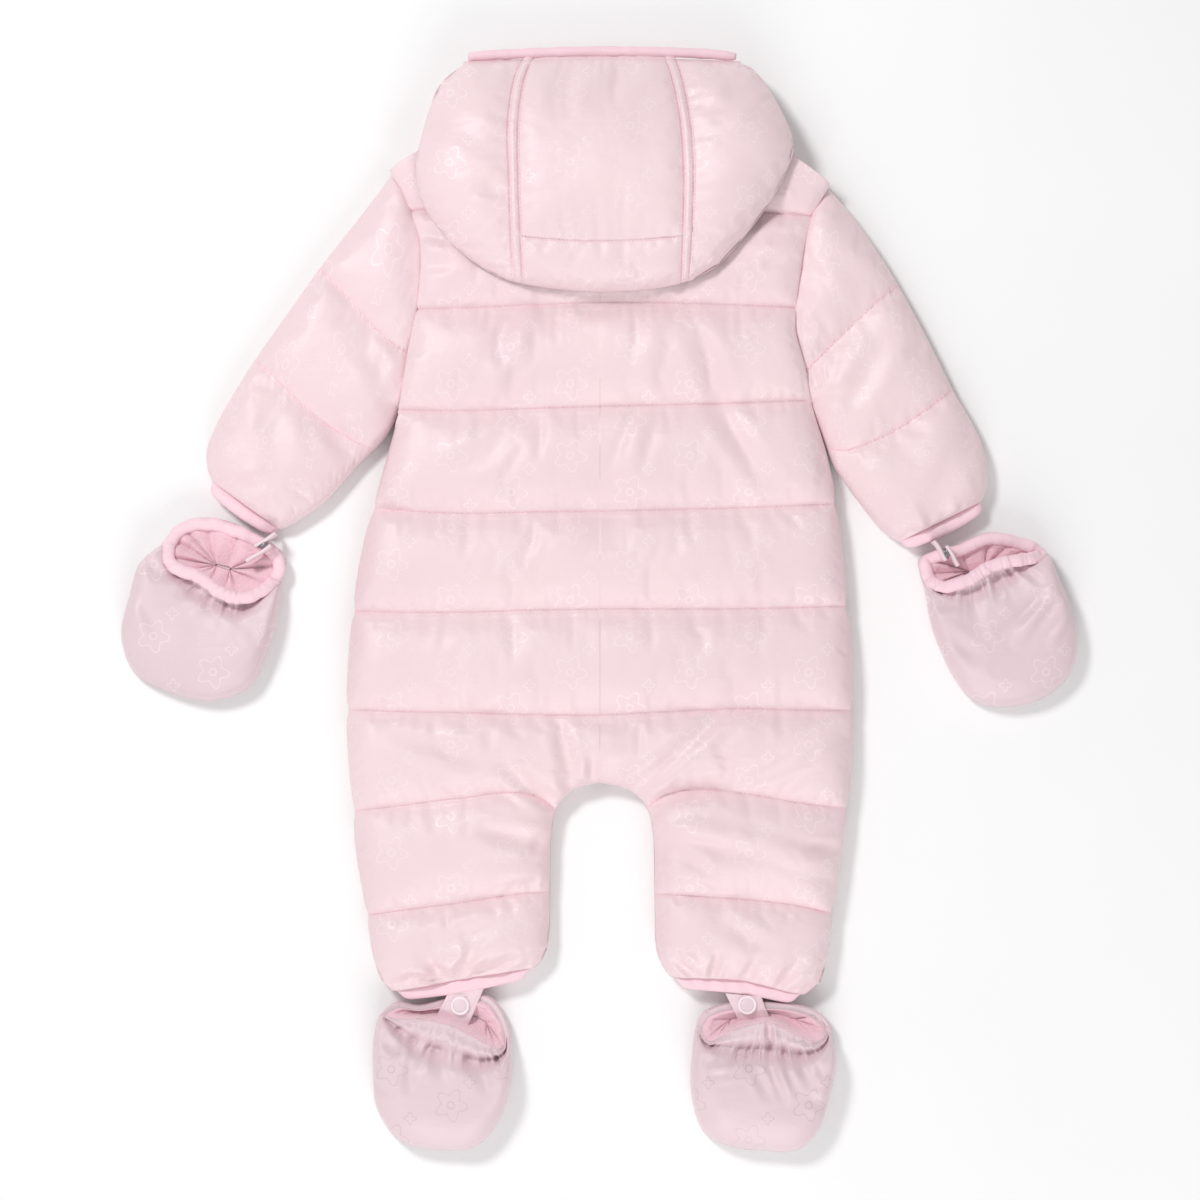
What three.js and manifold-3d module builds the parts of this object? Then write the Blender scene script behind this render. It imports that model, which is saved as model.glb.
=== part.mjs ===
// A padded baby snowsuit laid face down: quilted back with both legs, two fronts with a zip,
// flattened sleeves, a three panel hood, and a pair of mittens and of booties on snap straps.
// Millimetres. X runs across the suit, Y from hems to hood, Z up from the surface it lies on.
// Left and right are as seen from above. The origin is below the middle of the suit.
import * as THREE from 'three';
import { mergeVertices } from 'three/addons/utils/BufferGeometryUtils.js';
import Module from 'manifold-3d';

const wasm = await Module();
wasm.setup();

// Driving dimensions
const SEAM_GAP = 0.3;
const ARMHOLE_GAP = 0.6;
const FRONT_THICKNESS = 11;
const BACK_BOTTOM = FRONT_THICKNESS + SEAM_GAP;
const BACK_PUFF = 17;
const BACK_STITCH = 9;
const EDGE_THICKNESS = 2.6;
const PUFF_REACH = 30;
const SIDE_ROUNDING = 24;
const ARMHOLE_ROUNDING = 16;
const UNDERSIDE_GROOVE = 2;
const UNDERSIDE_ROUNDING = 9;
const SLEEVE_MIDDLE = 8;
const SLEEVE_PUFF = 15;
const SLEEVE_STITCH = 9;
const SLIT = 1.4;
const SLIT_INSET = 9;
const BINDING_WIDTH = 6.6;
const HOOD_WALL_EDGE = 3;
const HOOD_WALL = 7;
const HOOD_ROUNDING = 38;
const ZIP_HALF_GAP = 5.6;
const LAYER_GAP = 0.5;
const STITCH_REACH = 7;
const ARMHOLE_SHARE = 0.62;
const HEM_SHARE = 0.55;
const HEM_GATHER = 14;
const SLEEVE_EDGE = 1.4;
const SLEEVE_SEAM_SHARE = 0.7;
const SLEEVE_CUFF_SHARE = 0.5;

const PINK = { color: 0xf0dee4, roughness: 0.42, metalness: 0 };
const BINDING_PINK = { color: 0xf8d0e0, roughness: 0.6, metalness: 0 };
const FLEECE_PINK = { color: 0xf0bece, roughness: 0.95, metalness: 0 };
const SNAP_PINK = { color: 0xf6e4ea, roughness: 0.35, metalness: 0 };
const STEEL = { color: 0xc4c6ca, roughness: 0.25, metalness: 1 };
const ZIP_PINK = { color: 0xeec4d2, roughness: 0.55, metalness: 0 };

// Outline of the body: where its two side edges lie at each height.
const BODY_SIDES = [
  { y: -262, left: -120, right: 121 },
  { y: -253, left: -130.5, right: 131.5 },
  { y: -246, left: -138.5, right: 140.5 },
  { y: -233, left: -144.2, right: 144.6 },
  { y: -214, left: -148, right: 147.9 },
  { y: -190, left: -151.8, right: 150.8 },
  { y: -162, left: -156.4, right: 154.9 },
  { y: -134, left: -158.4, right: 159 },
  { y: -102, left: -161.4, right: 161.2 },
  { y: -70, left: -162.5, right: 162.3 },
  { y: -38, left: -161.4, right: 161.6 },
  { y: -4, left: -158.2, right: 159 },
  { y: 26, left: -153.8, right: 156.2 },
  { y: 60, left: -145.5, right: 152 },
  { y: 87, left: -137.9, right: 147 },
  { y: 110, left: -131.6, right: 140.6 },
  { y: 125, left: -128.6, right: 136 },
  { y: 150, left: -124.6, right: 131 },
  { y: 172, left: -120.7, right: 125.2 },
  { y: 193, left: -116.9, right: 126.3 },
  { y: 212, left: -114.9, right: 128.6 },
  { y: 231, left: -115.6, right: 131.8 },
  { y: 248, left: -121.2, right: 137.3 },
  { y: 262, left: -127, right: 145 },
  { y: 274, left: -134, right: 151 },
  { y: 310, left: -150, right: 165 },
];

// Inner edges of the legs, below the rounded crotch.
const CROTCH_TOP = -117.7;
const INNER_LEGS = [
  { y: -262, left: -60, right: 58 },
  { y: -247, left: -51, right: 49.5 },
  { y: -240, left: -46, right: 43.5 },
  { y: -232, left: -38, right: 38.6 },
  { y: -222, left: -33.8, right: 36.2 },
  { y: -205, left: -32.5, right: 35.6 },
  { y: -180, left: -32.3, right: 35.2 },
  { y: -153, left: -31.6, right: 34.6 },
  { y: -139, left: -29.6, right: 32.4 },
  { y: -129, left: -25, right: 27.3 },
  { y: -122, left: -17.5, right: 18.8 },
  { y: -118.7, left: -8.5, right: 8.8 },
  { y: CROTCH_TOP, left: 0, right: 0 },
];

// Quilting lines across the body, from the hems up to the shoulders. Each row gives the
// line's height at nine places from the left side to the right side.
const LINE_PLACES = [-165, -128, -90, -45, 0, 45, 90, 128, 165];
const BODY_LINES = [
  { name: 'hem', heights: [-256, -250, -243.2, -236.4, -236, -241.6, -243.6, -252.6, -256] },
  { name: 'shin', heights: [-204, -198.6, -193.8, -187.6, -188, -188.8, -191.4, -195.8, -205] },
  { name: 'thigh', heights: [-136, -131.4, -126.8, -124.4, -150, -124, -123.6, -129.8, -134.4] },
  { name: 'seat', heights: [-70.4, -71.4, -72.2, -73.4, -73.6, -71.4, -69.6, -70.4, -71] },
  { name: 'waist', heights: [-7.2, -7.8, -7.9, -6.6, -5.8, -5.8, -5.7, -4.8, -4] },
  { name: 'rib', heights: [60.6, 57.4, 55.4, 56.2, 56.8, 57.8, 59, 60.4, 62] },
  { name: 'chest', heights: [122, 121.5, 121, 122.4, 123.9, 124.9, 126, 127.6, 129] },
  { name: 'yoke', heights: [185.6, 185.8, 186.8, 188.8, 190.2, 190, 188.6, 187, 186] },
  { name: 'nape', heights: [246, 248.6, 250.4, 251, 251, 250.6, 248.8, 246.4, 245] },
  { name: 'shoulder', heights: [248.6, 279, 299, 307, 303, 308, 301, 280.4, 251.5] },
];
const FRONT_NECK = [248.6, 279, 294, 282, 263, 282, 295, 280.4, 251.5];

// Main folds of the back: a crease from one end to the other, its depth and its half width.
// A negative depth is a ridge.
const BACK_FOLDS = [
  { x0: -44, y0: 180, x1: -72, y1: 130, depth: -1.8, width: 8 },
  { x0: -60, y0: 160, x1: -58, y1: 148, depth: 2, width: 9 },
  { x0: 60, y0: 173, x1: 77, y1: 128, depth: 2, width: 9 },
  { x0: 36, y0: 178, x1: 27, y1: 136, depth: -1.4, width: 8 },
  { x0: -44, y0: 113, x1: -98, y1: 80, depth: 1.8, width: 9 },
  { x0: 75, y0: 121, x1: 106, y1: 75, depth: 2, width: 9 },
  { x0: 27, y0: 115, x1: 16, y1: 80, depth: -1.6, width: 7 },
  { x0: -134, y0: -85, x1: -28, y1: -131, depth: 2.4, width: 9 },
  { x0: -26, y0: -76, x1: -18, y1: -121, depth: 1.8, width: 7 },
  { x0: 75, y0: -76, x1: 20, y1: -123, depth: 2, width: 8 },
  { x0: 151, y0: -85, x1: 31, y1: -131, depth: 2.4, width: 9 },
  { x0: -82, y0: -147, x1: -36, y1: -155, depth: 2.2, width: 8 },
  { x0: 36, y0: -143, x1: 146, y1: -172, depth: -2.2, width: 9 },
  { x0: -110, y0: -220, x1: -56, y1: -206, depth: 2, width: 8 },
  { x0: 76, y0: -206, x1: 106, y1: -222, depth: 2, width: 8 },
];

// Sleeves: the points of the outer and inner edges from the armhole to the cuff.
const SLEEVES = {
  left: {
    outer: [[-135.4, 274], [-157, 244.6], [-180.6, 213.8], [-200.6, 185], [-222, 154.2],
      [-238.4, 128], [-247.4, 111.2], [-252.8, 97], [-252.6, 85], [-249.4, 76.4]],
    inner: [[-130, 121.4], [-139.4, 104], [-155.4, 87.6], [-166, 75], [-177, 63.2],
      [-185, 57], [-192.6, 52], [-198, 48.6], [-202, 46.6], [-206.4, 45.6]],
    lines: [
      [[-181, 214], [-160.3, 192], [-135.7, 166], [-119, 157]],
      [[-224, 156], [-211, 145], [-187.8, 122], [-159, 102.4], [-142, 95.6]],
    ],
    folds: [
      { x0: -152, y0: 166, x1: -136, y1: 132, depth: 2, width: 9 },
      { x0: -209, y0: 130, x1: -206, y1: 84, depth: 1.8, width: 10 },
      { x0: -233, y0: 78, x1: -211, y1: 76, depth: 1.6, width: 7 },
    ],
  },
  right: {
    outer: [[147.8, 265.6], [165.4, 244], [186.8, 211.8], [208.4, 172.4], [226.2, 136.4],
      [240.6, 111.2], [247.8, 93.2], [249, 79], [248, 70], [245.6, 63.6]],
    inner: [[137, 124.6], [142.4, 108.6], [149.8, 88], [155, 79], [162, 68.4],
      [167.8, 60.8], [175, 51.4], [181.4, 45.2], [187, 40.6], [192.6, 37.4]],
    lines: [
      [[194, 205], [166.1, 180.5], [134.7, 149.6], [120, 135]],
      [[230, 138], [209, 122], [187, 107.5], [160, 96.2], [144, 98]],
    ],
    folds: [
      { x0: 183, y0: 170, x1: 158, y1: 118, depth: 2, width: 9 },
      { x0: 232, y0: 100, x1: 212, y1: 60, depth: 1.6, width: 9 },
    ],
  },
};

// Hood seen from above: its outer edge from the top left corner round below to the top
// right corner, the four seams of its two bands, and the cross seam of its middle panel.
const HOOD_LEFT_EDGE = [[-86.8, 343.2], [-101.1, 330.4], [-107.8, 316], [-114.4, 291.6],
  [-117.1, 275.3], [-114.4, 256.9], [-105.2, 240], [-92, 224.6], [-74.6, 211.2], [-58.6, 203.4]];
const HOOD_RIGHT_EDGE = [[89.7, 343.2], [98.9, 338], [109.1, 324.3], [119.3, 303.9],
  [122.9, 289.5], [120.3, 277.3], [109.1, 254.8], [92.7, 232.4], [75.4, 213.6], [58.6, 203.6]];
const HOOD_SEAMS = [
  { y: 348, leftOuter: -48.6, leftInner: -42.6, rightInner: 41.4, rightOuter: 47.6 },
  { y: 330, leftOuter: -54.6, leftInner: -48.4, rightInner: 46.4, rightOuter: 52.4 },
  { y: 300, leftOuter: -58.2, leftInner: -51.8, rightInner: 51.2, rightOuter: 57.4 },
  { y: 270, leftOuter: -57.4, leftInner: -51.6, rightInner: 53, rightOuter: 59 },
  { y: 238, leftOuter: -56.6, leftInner: -50.6, rightInner: 52.6, rightOuter: 58.2 },
  { y: 198, leftOuter: -55, leftInner: -49, rightInner: 51.6, rightOuter: 56.4 },
];
const HOOD_TOP = [[-120, 341], [-87, 343.8], [-58, 345.8], [0, 347.6], [64, 346.2], [90, 343.8],
  [120, 341]];
const HOOD_CROSS = [[-60, 230.8], [-30, 228], [-4, 227], [26, 227.8], [60, 230.8]];
const HOOD_BOTTOM = [[-75, 210.4], [-56.4, 202.8], [-27.6, 197.8], [1, 195.8], [33.5, 197.8],
  [56, 202.8], [75, 212]];
const HOOD_PROFILE = [
  { y: 190, edge: 33, rise: 15 },
  { y: 240, edge: 33.4, rise: 18 },
  { y: 285, edge: 32, rise: 19 },
  { y: 315, edge: 26, rise: 18 },
  { y: 352, edge: 18, rise: 12 },
];

// Mittens and booties: pairs of matching points round the foot of the wall and the mouth,
// taken counterclockwise from the left corner of the mouth.
const MITTEN_LEFT = [
  { body: [-281, 37], mouth: [-277.5, 33] }, { body: [-296, 23.7], mouth: [-276, 24] },
  { body: [-303, 2], mouth: [-268.5, 18] }, { body: [-308.2, -22.4], mouth: [-260.5, 15.6] },
  { body: [-300.6, -46], mouth: [-254, 12] }, { body: [-275.3, -60], mouth: [-247.5, 7] },
  { body: [-249, -64.6], mouth: [-240.5, 2.6] }, { body: [-226.4, -56.2], mouth: [-232.5, 0.4] },
  { body: [-214.2, -34.6], mouth: [-223.5, 1.4] }, { body: [-207, -8], mouth: [-214.5, 6] },
  { body: [-204.6, 12], mouth: [-207.5, 14] }, { body: [-201.6, 25], mouth: [-205, 24] },
  { body: [-208.5, 34.6], mouth: [-211, 32.4] }, { body: [-227.4, 46], mouth: [-228, 42.8] },
  { body: [-246, 52.4], mouth: [-246, 49] }, { body: [-262, 52.6], mouth: [-261.5, 49] },
  { body: [-274, 46.6], mouth: [-272, 44] },
];
const MITTEN_RIGHT = [
  { body: [205.5, 18], mouth: [209, 17] }, { body: [209.5, 3], mouth: [212.5, 10.4] },
  { body: [212.4, -14], mouth: [217.5, 8] }, { body: [219, -33], mouth: [223.2, 8.2] },
  { body: [228, -51], mouth: [229, 9.7] }, { body: [238.7, -63.7], mouth: [235, 11.7] },
  { body: [259.3, -68.9], mouth: [241, 15] }, { body: [283.7, -63.7], mouth: [247, 19] },
  { body: [302.4, -47.7], mouth: [254, 22.4] }, { body: [307.3, -28], mouth: [262, 24.4] },
  { body: [303, -5], mouth: [270, 25.6] }, { body: [295, 14], mouth: [277, 26.8] },
  { body: [288.5, 29], mouth: [283.6, 29.6] }, { body: [280, 36.6], mouth: [276.5, 34.4] },
  { body: [266, 41.4], mouth: [265, 38] }, { body: [251, 43.8], mouth: [251, 40.2] },
  { body: [240, 40.6], mouth: [240.5, 37] }, { body: [228, 35], mouth: [228, 31.4] },
  { body: [213, 31], mouth: [214, 27.6] }, { body: [204.8, 26], mouth: [208.6, 24] },
];
const BOOTIE_LEFT = [
  { body: [-141.6, -267], mouth: [-137.6, -266.6] }, { body: [-145.6, -281], mouth: [-131, -268.6] },
  { body: [-146.2, -303], mouth: [-122.6, -269.4] }, { body: [-143.2, -329], mouth: [-114, -269.8] },
  { body: [-127.7, -348.7], mouth: [-104, -271] }, { body: [-100.4, -353.9], mouth: [-94, -274.5] },
  { body: [-80.6, -352], mouth: [-84, -279.5] }, { body: [-66, -336.5], mouth: [-75, -284.4] },
  { body: [-57.5, -314], mouth: [-67, -288] }, { body: [-56.6, -295], mouth: [-61.6, -287.4] },
  { body: [-57.5, -280], mouth: [-61, -279] }, { body: [-62.6, -265], mouth: [-66, -266] },
  { body: [-71, -255], mouth: [-73.4, -258] }, { body: [-85, -253], mouth: [-86, -256.4] },
  { body: [-101, -256.6], mouth: [-101, -259.8] }, { body: [-116, -260.2], mouth: [-116, -262.6] },
  { body: [-131, -258.6], mouth: [-130, -261.4] },
];
const BOOTIE_RIGHT = [
  { body: [60.8, -279], mouth: [65, -278.4] }, { body: [59.6, -290], mouth: [70, -283.6] },
  { body: [58.2, -306], mouth: [77, -280.8] }, { body: [60, -326], mouth: [85, -276.8] },
  { body: [67, -343], mouth: [94, -273.6] }, { body: [85, -352], mouth: [102, -271.8] },
  { body: [103, -354.2], mouth: [108, -271.4] }, { body: [127, -354], mouth: [115, -274] },
  { body: [140, -342], mouth: [123, -278.6] }, { body: [147.5, -321], mouth: [132, -282.6] },
  { body: [151.6, -299], mouth: [140, -283.4] }, { body: [149.6, -283], mouth: [145.6, -279.6] },
  { body: [147, -271], mouth: [143, -272.4] }, { body: [138, -263.6], mouth: [136, -266.6] },
  { body: [124, -259.6], mouth: [123, -262.8] }, { body: [104, -258], mouth: [104, -261.4] },
  { body: [82, -259], mouth: [82.5, -262.4] }, { body: [66, -265.6], mouth: [68.6, -268] },
];

// Straps: four corners each from the suit's end to the far end, and the height of each end.
const BOOTIE_STRAPS = {
  left: {
    corners: [[-98, -253.1], [-74.6, -249.3], [-83.4, -270.4], [-103.6, -264]],
    heights: [14.2, 16.5], snap: [-89.6, -260],
  },
  right: {
    corners: [[80.4, -252.2], [103.4, -254.3], [107.4, -264.6], [87.4, -266.8]],
    heights: [14.2, 16.5], snap: [94.4, -259.6],
  },
};
const MITTEN_STRAPS = {
  left: { suitEnd: [-207.9, 43.5], middle: [-216.3, 37.7], farEnd: [-229, 29.2] },
  right: { suitEnd: [212.6, 37.3], middle: [218.4, 28.4], farEnd: [224.4, 19] },
};

const lerp = (a, b, t) => a + (b - a) * t;
const clamp = (value, low, high) => Math.min(Math.max(value, low), high);
const mix = (p, q, t) => [lerp(p[0], q[0], t), lerp(p[1], q[1], t)];

// Height of a quarter round of the given reach: 0 at its foot, 1 from the reach on.
function quarterRound(distance, reach) {
  const t = 1 - clamp(distance / reach, 0, 1);
  return Math.sqrt(1 - t * t);
}

// Smooth value through a table's rows, by one column against another.
function along(table, keyColumn, valueColumn, key) {
  const last = table.length - 2;
  let i = 0;
  while (i < last && key > table[i + 1][keyColumn]) i += 1;
  const at = (k) => table[clamp(k, 0, last + 1)];
  const [a, b, c, d] = [at(i - 1), at(i), at(i + 1), at(i + 2)];
  const span = c[keyColumn] - b[keyColumn];
  const slope = (p, q) => (q[valueColumn] - p[valueColumn]) / Math.max(q[keyColumn] - p[keyColumn], 1e-6);
  const t = clamp((key - b[keyColumn]) / span, 0, 1);
  const m0 = slope(a, c) * span;
  const m1 = slope(b, d) * span;
  const t2 = t * t;
  const t3 = t2 * t;
  return (2 * t3 - 3 * t2 + 1) * b[valueColumn] + (t3 - 2 * t2 + t) * m0
    + (3 * t2 - 2 * t3) * c[valueColumn] + (t3 - t2) * m1;
}

// Height of a quilting line at a place across the body.
function lineHeight(heights, x) {
  const table = LINE_PLACES.map((place, i) => ({ place, height: heights[i] }));
  return along(table, 'place', 'height', x);
}

// Point at a fraction of a curve drawn through points.
function pointOn(points, fraction) {
  const table = points.map((p, i) => ({ i, x: p[0], y: p[1] }));
  const key = fraction * (points.length - 1);
  return [along(table, 'i', 'x', key), along(table, 'i', 'y', key)];
}

// Closed smooth curve through the given points, split into equal steps of its own count.
function closedCurve(points, count) {
  const curve = new THREE.CatmullRomCurve3(points.map((p) => new THREE.Vector3(p[0], p[1], 0)), true);
  return Array.from({ length: count }, (_, i) => {
    const p = curve.getPoint(i / count);
    return [p.x, p.y];
  });
}

function distanceToSegment(x, y, p, q) {
  const dx = q[0] - p[0];
  const dy = q[1] - p[1];
  const t = clamp(((x - p[0]) * dx + (y - p[1]) * dy) / (dx * dx + dy * dy), 0, 1);
  return { distance: Math.hypot(x - p[0] - dx * t, y - p[1] - dy * t), t };
}

function distanceToLine(x, y, points) {
  let nearest = Infinity;
  for (let i = 0; i + 1 < points.length; i += 1) {
    nearest = Math.min(nearest, distanceToSegment(x, y, points[i], points[i + 1]).distance);
  }
  return nearest;
}

// Sum of the folds' effect at a point: soft across, and fading to both ends.
function foldHeight(folds, x, y) {
  let height = 0;
  for (const fold of folds) {
    const { distance, t } = distanceToSegment(x, y, [fold.x0, fold.y0], [fold.x1, fold.y1]);
    const across = Math.exp(-((distance / fold.width) ** 2));
    height -= fold.depth * across * Math.sin(Math.PI * lerp(0.12, 0.88, t));
  }
  return height;
}

const tracePoints = (table, column) => table.map((row) => [row[column], row.y]);
const BODY_LINE_TRACES = BODY_LINES.slice(1, -1).map(
  (line) => LINE_PLACES.map((place, i) => [place, line.heights[i]]),
);
const UNDERARM_LEFT = 123;
const UNDERARM_RIGHT = 127;
const sideRows = (column, low, high) => tracePoints(
  BODY_SIDES.filter((row) => row.y >= low && row.y <= high),
  column,
);
const FREE_EDGES = [
  sideRows('left', -300, UNDERARM_LEFT),
  sideRows('right', -300, UNDERARM_RIGHT),
  tracePoints(INNER_LEGS, 'left'),
  tracePoints(INNER_LEGS, 'right'),
];
const ARMHOLES = [sideRows('left', UNDERARM_LEFT, 280), sideRows('right', UNDERARM_RIGHT - 3, 280)];

const nearestOf = (x, y, traces) => Math.min(...traces.map((trace) => distanceToLine(x, y, trace)));

// The row of a body line cut off where it meets a side edge or the inner edge of a leg.
function sideOf(column, heightAt) {
  let x = BODY_SIDES[12][column];
  for (let i = 0; i < 12; i += 1) x = along(BODY_SIDES, 'y', column, heightAt(x));
  return x;
}

function innerOf(column, heightAt) {
  if (heightAt(0) >= CROTCH_TOP - 0.01) return 0;
  let low = 0;
  let high = column === 'left' ? -60 : 60;
  for (let i = 0; i < 40; i += 1) {
    const middle = (low + high) / 2;
    const edge = along(INNER_LEGS, 'y', column, Math.min(heightAt(middle), CROTCH_TOP));
    const insideLeg = heightAt(middle) >= CROTCH_TOP || Math.abs(middle) >= Math.abs(edge);
    if (insideLeg) high = middle;
    else low = middle;
  }
  return high;
}

// Grid of points over one half of the body, by rows from the hem to the top. The steps say
// where rows lie between two quilting lines.
function bodyHalf(column, columns, steps, lines, innerLimit) {
  const rows = [];
  for (let k = 0; k + 1 < lines.length; k += 1) {
    const lower = lines[k].heights;
    const upper = lines[k + 1].heights;
    const split = (CROTCH_TOP - lineHeight(lower, 0)) / (lineHeight(upper, 0) - lineHeight(lower, 0));
    const places = lines[k].name === 'thigh' ? [...steps, split, split - 0.05, split - 0.16] : [...steps];
    if (k === lines.length - 2) places.push(1);
    for (const t of places.sort((a, b) => a - b)) {
      const heightAt = (x) => lerp(lineHeight(lower, x), lineHeight(upper, x), t);
      const side = sideOf(column, heightAt);
      const inner = innerOf(column, heightAt);
      const limit = Math.abs(inner) < innerLimit ? Math.sign(side) * innerLimit : inner;
      rows.push(Array.from({ length: columns + 1 }, (_, i) => {
        const spread = i / columns;
        const x = lerp(side, limit, lerp(spread, spread * spread * (3 - 2 * spread), 0.35));
        return [x, heightAt(x)];
      }));
    }
  }
  return rows;
}

// Cells of a grid of rows of points, wound counterclockwise.
function gridCells(rows) {
  const cells = [];
  for (let i = 0; i + 1 < rows.length; i += 1) {
    for (let j = 0; j + 1 < rows[i].length; j += 1) {
      const cell = [rows[i][j], rows[i][j + 1], rows[i + 1][j + 1], rows[i + 1][j]];
      const area = cell.reduce((sum, p, k) => {
        const q = cell[(k + 1) % 4];
        return sum + p[0] * q[1] - q[0] * p[1];
      }, 0);
      cells.push(area > 0 ? cell : cell.reverse());
    }
  }
  return cells;
}

function geometryFrom(positions, faces) {
  const geometry = new THREE.BufferGeometry();
  geometry.setAttribute('position', new THREE.Float32BufferAttribute(positions, 3));
  geometry.setIndex(faces);
  return geometry;
}

// Solid between two heights over cells seen from above. A level side is filled from its
// boundary alone.
function thicken(cells, topAt, bottomAt, levelBottom = false, levelTop = false) {
  const keys = new Map();
  const points = [];
  const numberOf = (p) => {
    const key = `${Math.round(p[0] * 50)},${Math.round(p[1] * 50)}`;
    if (!keys.has(key)) {
      keys.set(key, points.length);
      points.push(p);
    }
    return keys.get(key);
  };
  const triangles = [];
  for (const cell of cells) {
    const [a, b, c, d] = cell.map(numberOf);
    for (const triangle of [[a, b, c], [a, c, d]]) {
      if (new Set(triangle).size === 3) triangles.push(triangle);
    }
  }
  const edges = new Map();
  for (const [a, b, c] of triangles) {
    for (const [from, to] of [[a, b], [b, c], [c, a]]) edges.set(`${from},${to}`, [from, to]);
  }
  const boundary = [...edges.values()].filter(([from, to]) => !edges.has(`${to},${from}`));
  const count = points.length;
  const positions = [];
  for (const p of points) positions.push(p[0], p[1], topAt(p[0], p[1]));
  for (const p of points) positions.push(p[0], p[1], bottomAt(p[0], p[1]));
  const faces = [];
  const level = levelBottom || levelTop ? levelTriangles(points, boundary) : [];
  for (const [a, b, c] of levelTop ? level : triangles) faces.push(a, b, c);
  for (const [a, b, c] of levelBottom ? level : triangles) faces.push(a + count, c + count, b + count);
  for (const [from, to] of boundary) {
    faces.push(from, from + count, to + count, from, to + count, to);
  }
  return cleaned(geometryFrom(positions, faces));
}

// Triangles that fill the boundary loop of a level side, without its inner points.
function levelTriangles(points, boundary) {
  const next = new Map(boundary);
  const loop = [boundary[0][0]];
  while (next.get(loop[loop.length - 1]) !== loop[0]) loop.push(next.get(loop[loop.length - 1]));
  const contour = loop.map((i) => new THREE.Vector2(points[i][0], points[i][1]));
  return THREE.ShapeUtils.triangulateShape(contour, []).map((face) => face.map((i) => loop[i]));
}

// Solid from rings of equal count stacked from one pole to another.
function loft(rings, firstPole, lastPole) {
  const count = rings[0].length;
  const positions = [...rings.flat(2), ...firstPole, ...lastPole];
  const first = rings.length * count;
  const last = first + 1;
  const top = (rings.length - 1) * count;
  const faces = [];
  for (let j = 0; j < count; j += 1) {
    const k = (j + 1) % count;
    faces.push(first, k, j);
    faces.push(last, top + j, top + k);
    for (let i = 0; i + 1 < rings.length; i += 1) {
      const a = i * count;
      const b = a + count;
      faces.push(a + j, a + k, b + k, a + j, b + k, b + j);
    }
  }
  return geometryFrom(positions, faces);
}

// Solid from rings that close on themselves along their length as well.
function hoop(rings) {
  const count = rings[0].length;
  const faces = [];
  for (let i = 0; i < rings.length; i += 1) {
    const a = i * count;
    const b = ((i + 1) % rings.length) * count;
    for (let j = 0; j < count; j += 1) {
      const k = (j + 1) % count;
      faces.push(a + j, a + k, b + k, a + j, b + k, b + j);
    }
  }
  return geometryFrom(rings.flat(2), faces);
}

function cleaned(geometry) {
  geometry.deleteAttribute('normal');
  geometry.deleteAttribute('uv');
  return mergeVertices(geometry, 1e-4);
}

function toManifold(geometry) {
  const merged = cleaned(geometry.clone());
  return new wasm.Manifold(new wasm.Mesh({
    numProp: 3,
    vertProperties: new Float32Array(merged.attributes.position.array),
    triVerts: new Uint32Array(merged.index.array),
  }));
}

function fromManifold(solid) {
  const mesh = solid.getMesh();
  return geometryFrom(Array.from(mesh.vertProperties), Array.from(mesh.triVerts));
}

const group = new THREE.Group();

function addPiece(name, geometry, finish) {
  geometry.computeVertexNormals();
  const mesh = new THREE.Mesh(geometry, new THREE.MeshStandardMaterial(finish));
  mesh.name = name;
  group.add(mesh);
}

// Body heights

function backTop(x, y) {
  const puff = quarterRound(nearestOf(x, y, BODY_LINE_TRACES), PUFF_REACH);
  const side = quarterRound(nearestOf(x, y, FREE_EDGES), SIDE_ROUNDING);
  const armhole = quarterRound(nearestOf(x, y, ARMHOLES), ARMHOLE_ROUNDING);
  const hem = clamp((y - lineHeight(BODY_LINES[0].heights, x)) / HEM_GATHER, 0, 1);
  const full = lerp(BACK_STITCH, BACK_PUFF, puff) * lerp(ARMHOLE_SHARE, 1, armhole)
    * lerp(HEM_SHARE, 1, hem);
  const rounded = EDGE_THICKNESS + Math.max(full - EDGE_THICKNESS, 0) * side;
  return BACK_BOTTOM + Math.max(rounded + foldHeight(BACK_FOLDS, x, y) * side, EDGE_THICKNESS);
}

function frontBottom(x, y) {
  const stitched = 1 - quarterRound(nearestOf(x, y, BODY_LINE_TRACES), STITCH_REACH);
  const edge = 1 - quarterRound(nearestOf(x, y, FREE_EDGES), UNDERSIDE_ROUNDING);
  return Math.max(UNDERSIDE_GROOVE * stitched, (FRONT_THICKNESS - EDGE_THICKNESS) * edge);
}

const PUFF_STEPS = [0, 0.12, 0.32, 0.68, 0.88];
const BACK_COLUMNS = 12;
const FRONT_COLUMNS = 5;
const BACK_GRIDS = {
  left: bodyHalf('left', BACK_COLUMNS, PUFF_STEPS, BODY_LINES, 0),
  right: bodyHalf('right', BACK_COLUMNS, PUFF_STEPS, BODY_LINES, 0),
};

// Where the body's straight faced side edge lies at a height.
function sideEdgeAt(side, y) {
  const rows = BACK_GRIDS[side].map((row) => row[0]);
  const k = clamp(rows.findIndex((p) => p[1] > y), 1, rows.length - 1);
  const [p, q] = [rows[k - 1], rows[k]];
  return lerp(p[0], q[0], (y - p[1]) / (q[1] - p[1]));
}

const backCells = () => [...gridCells(BACK_GRIDS.left), ...gridCells(BACK_GRIDS.right)];

function addBody() {
  addPiece('back', thicken(backCells(), backTop, () => BACK_BOTTOM, true), PINK);
  const frontLines = [...BODY_LINES.slice(0, -1), { name: 'neck', heights: FRONT_NECK }];
  for (const side of ['left', 'right']) {
    const grid = bodyHalf(side, FRONT_COLUMNS, PUFF_STEPS, frontLines, ZIP_HALF_GAP);
    const solid = thicken(gridCells(grid), () => FRONT_THICKNESS, frontBottom, false, true);
    addPiece(`front_${side}`, solid, PINK);
  }
}

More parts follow.
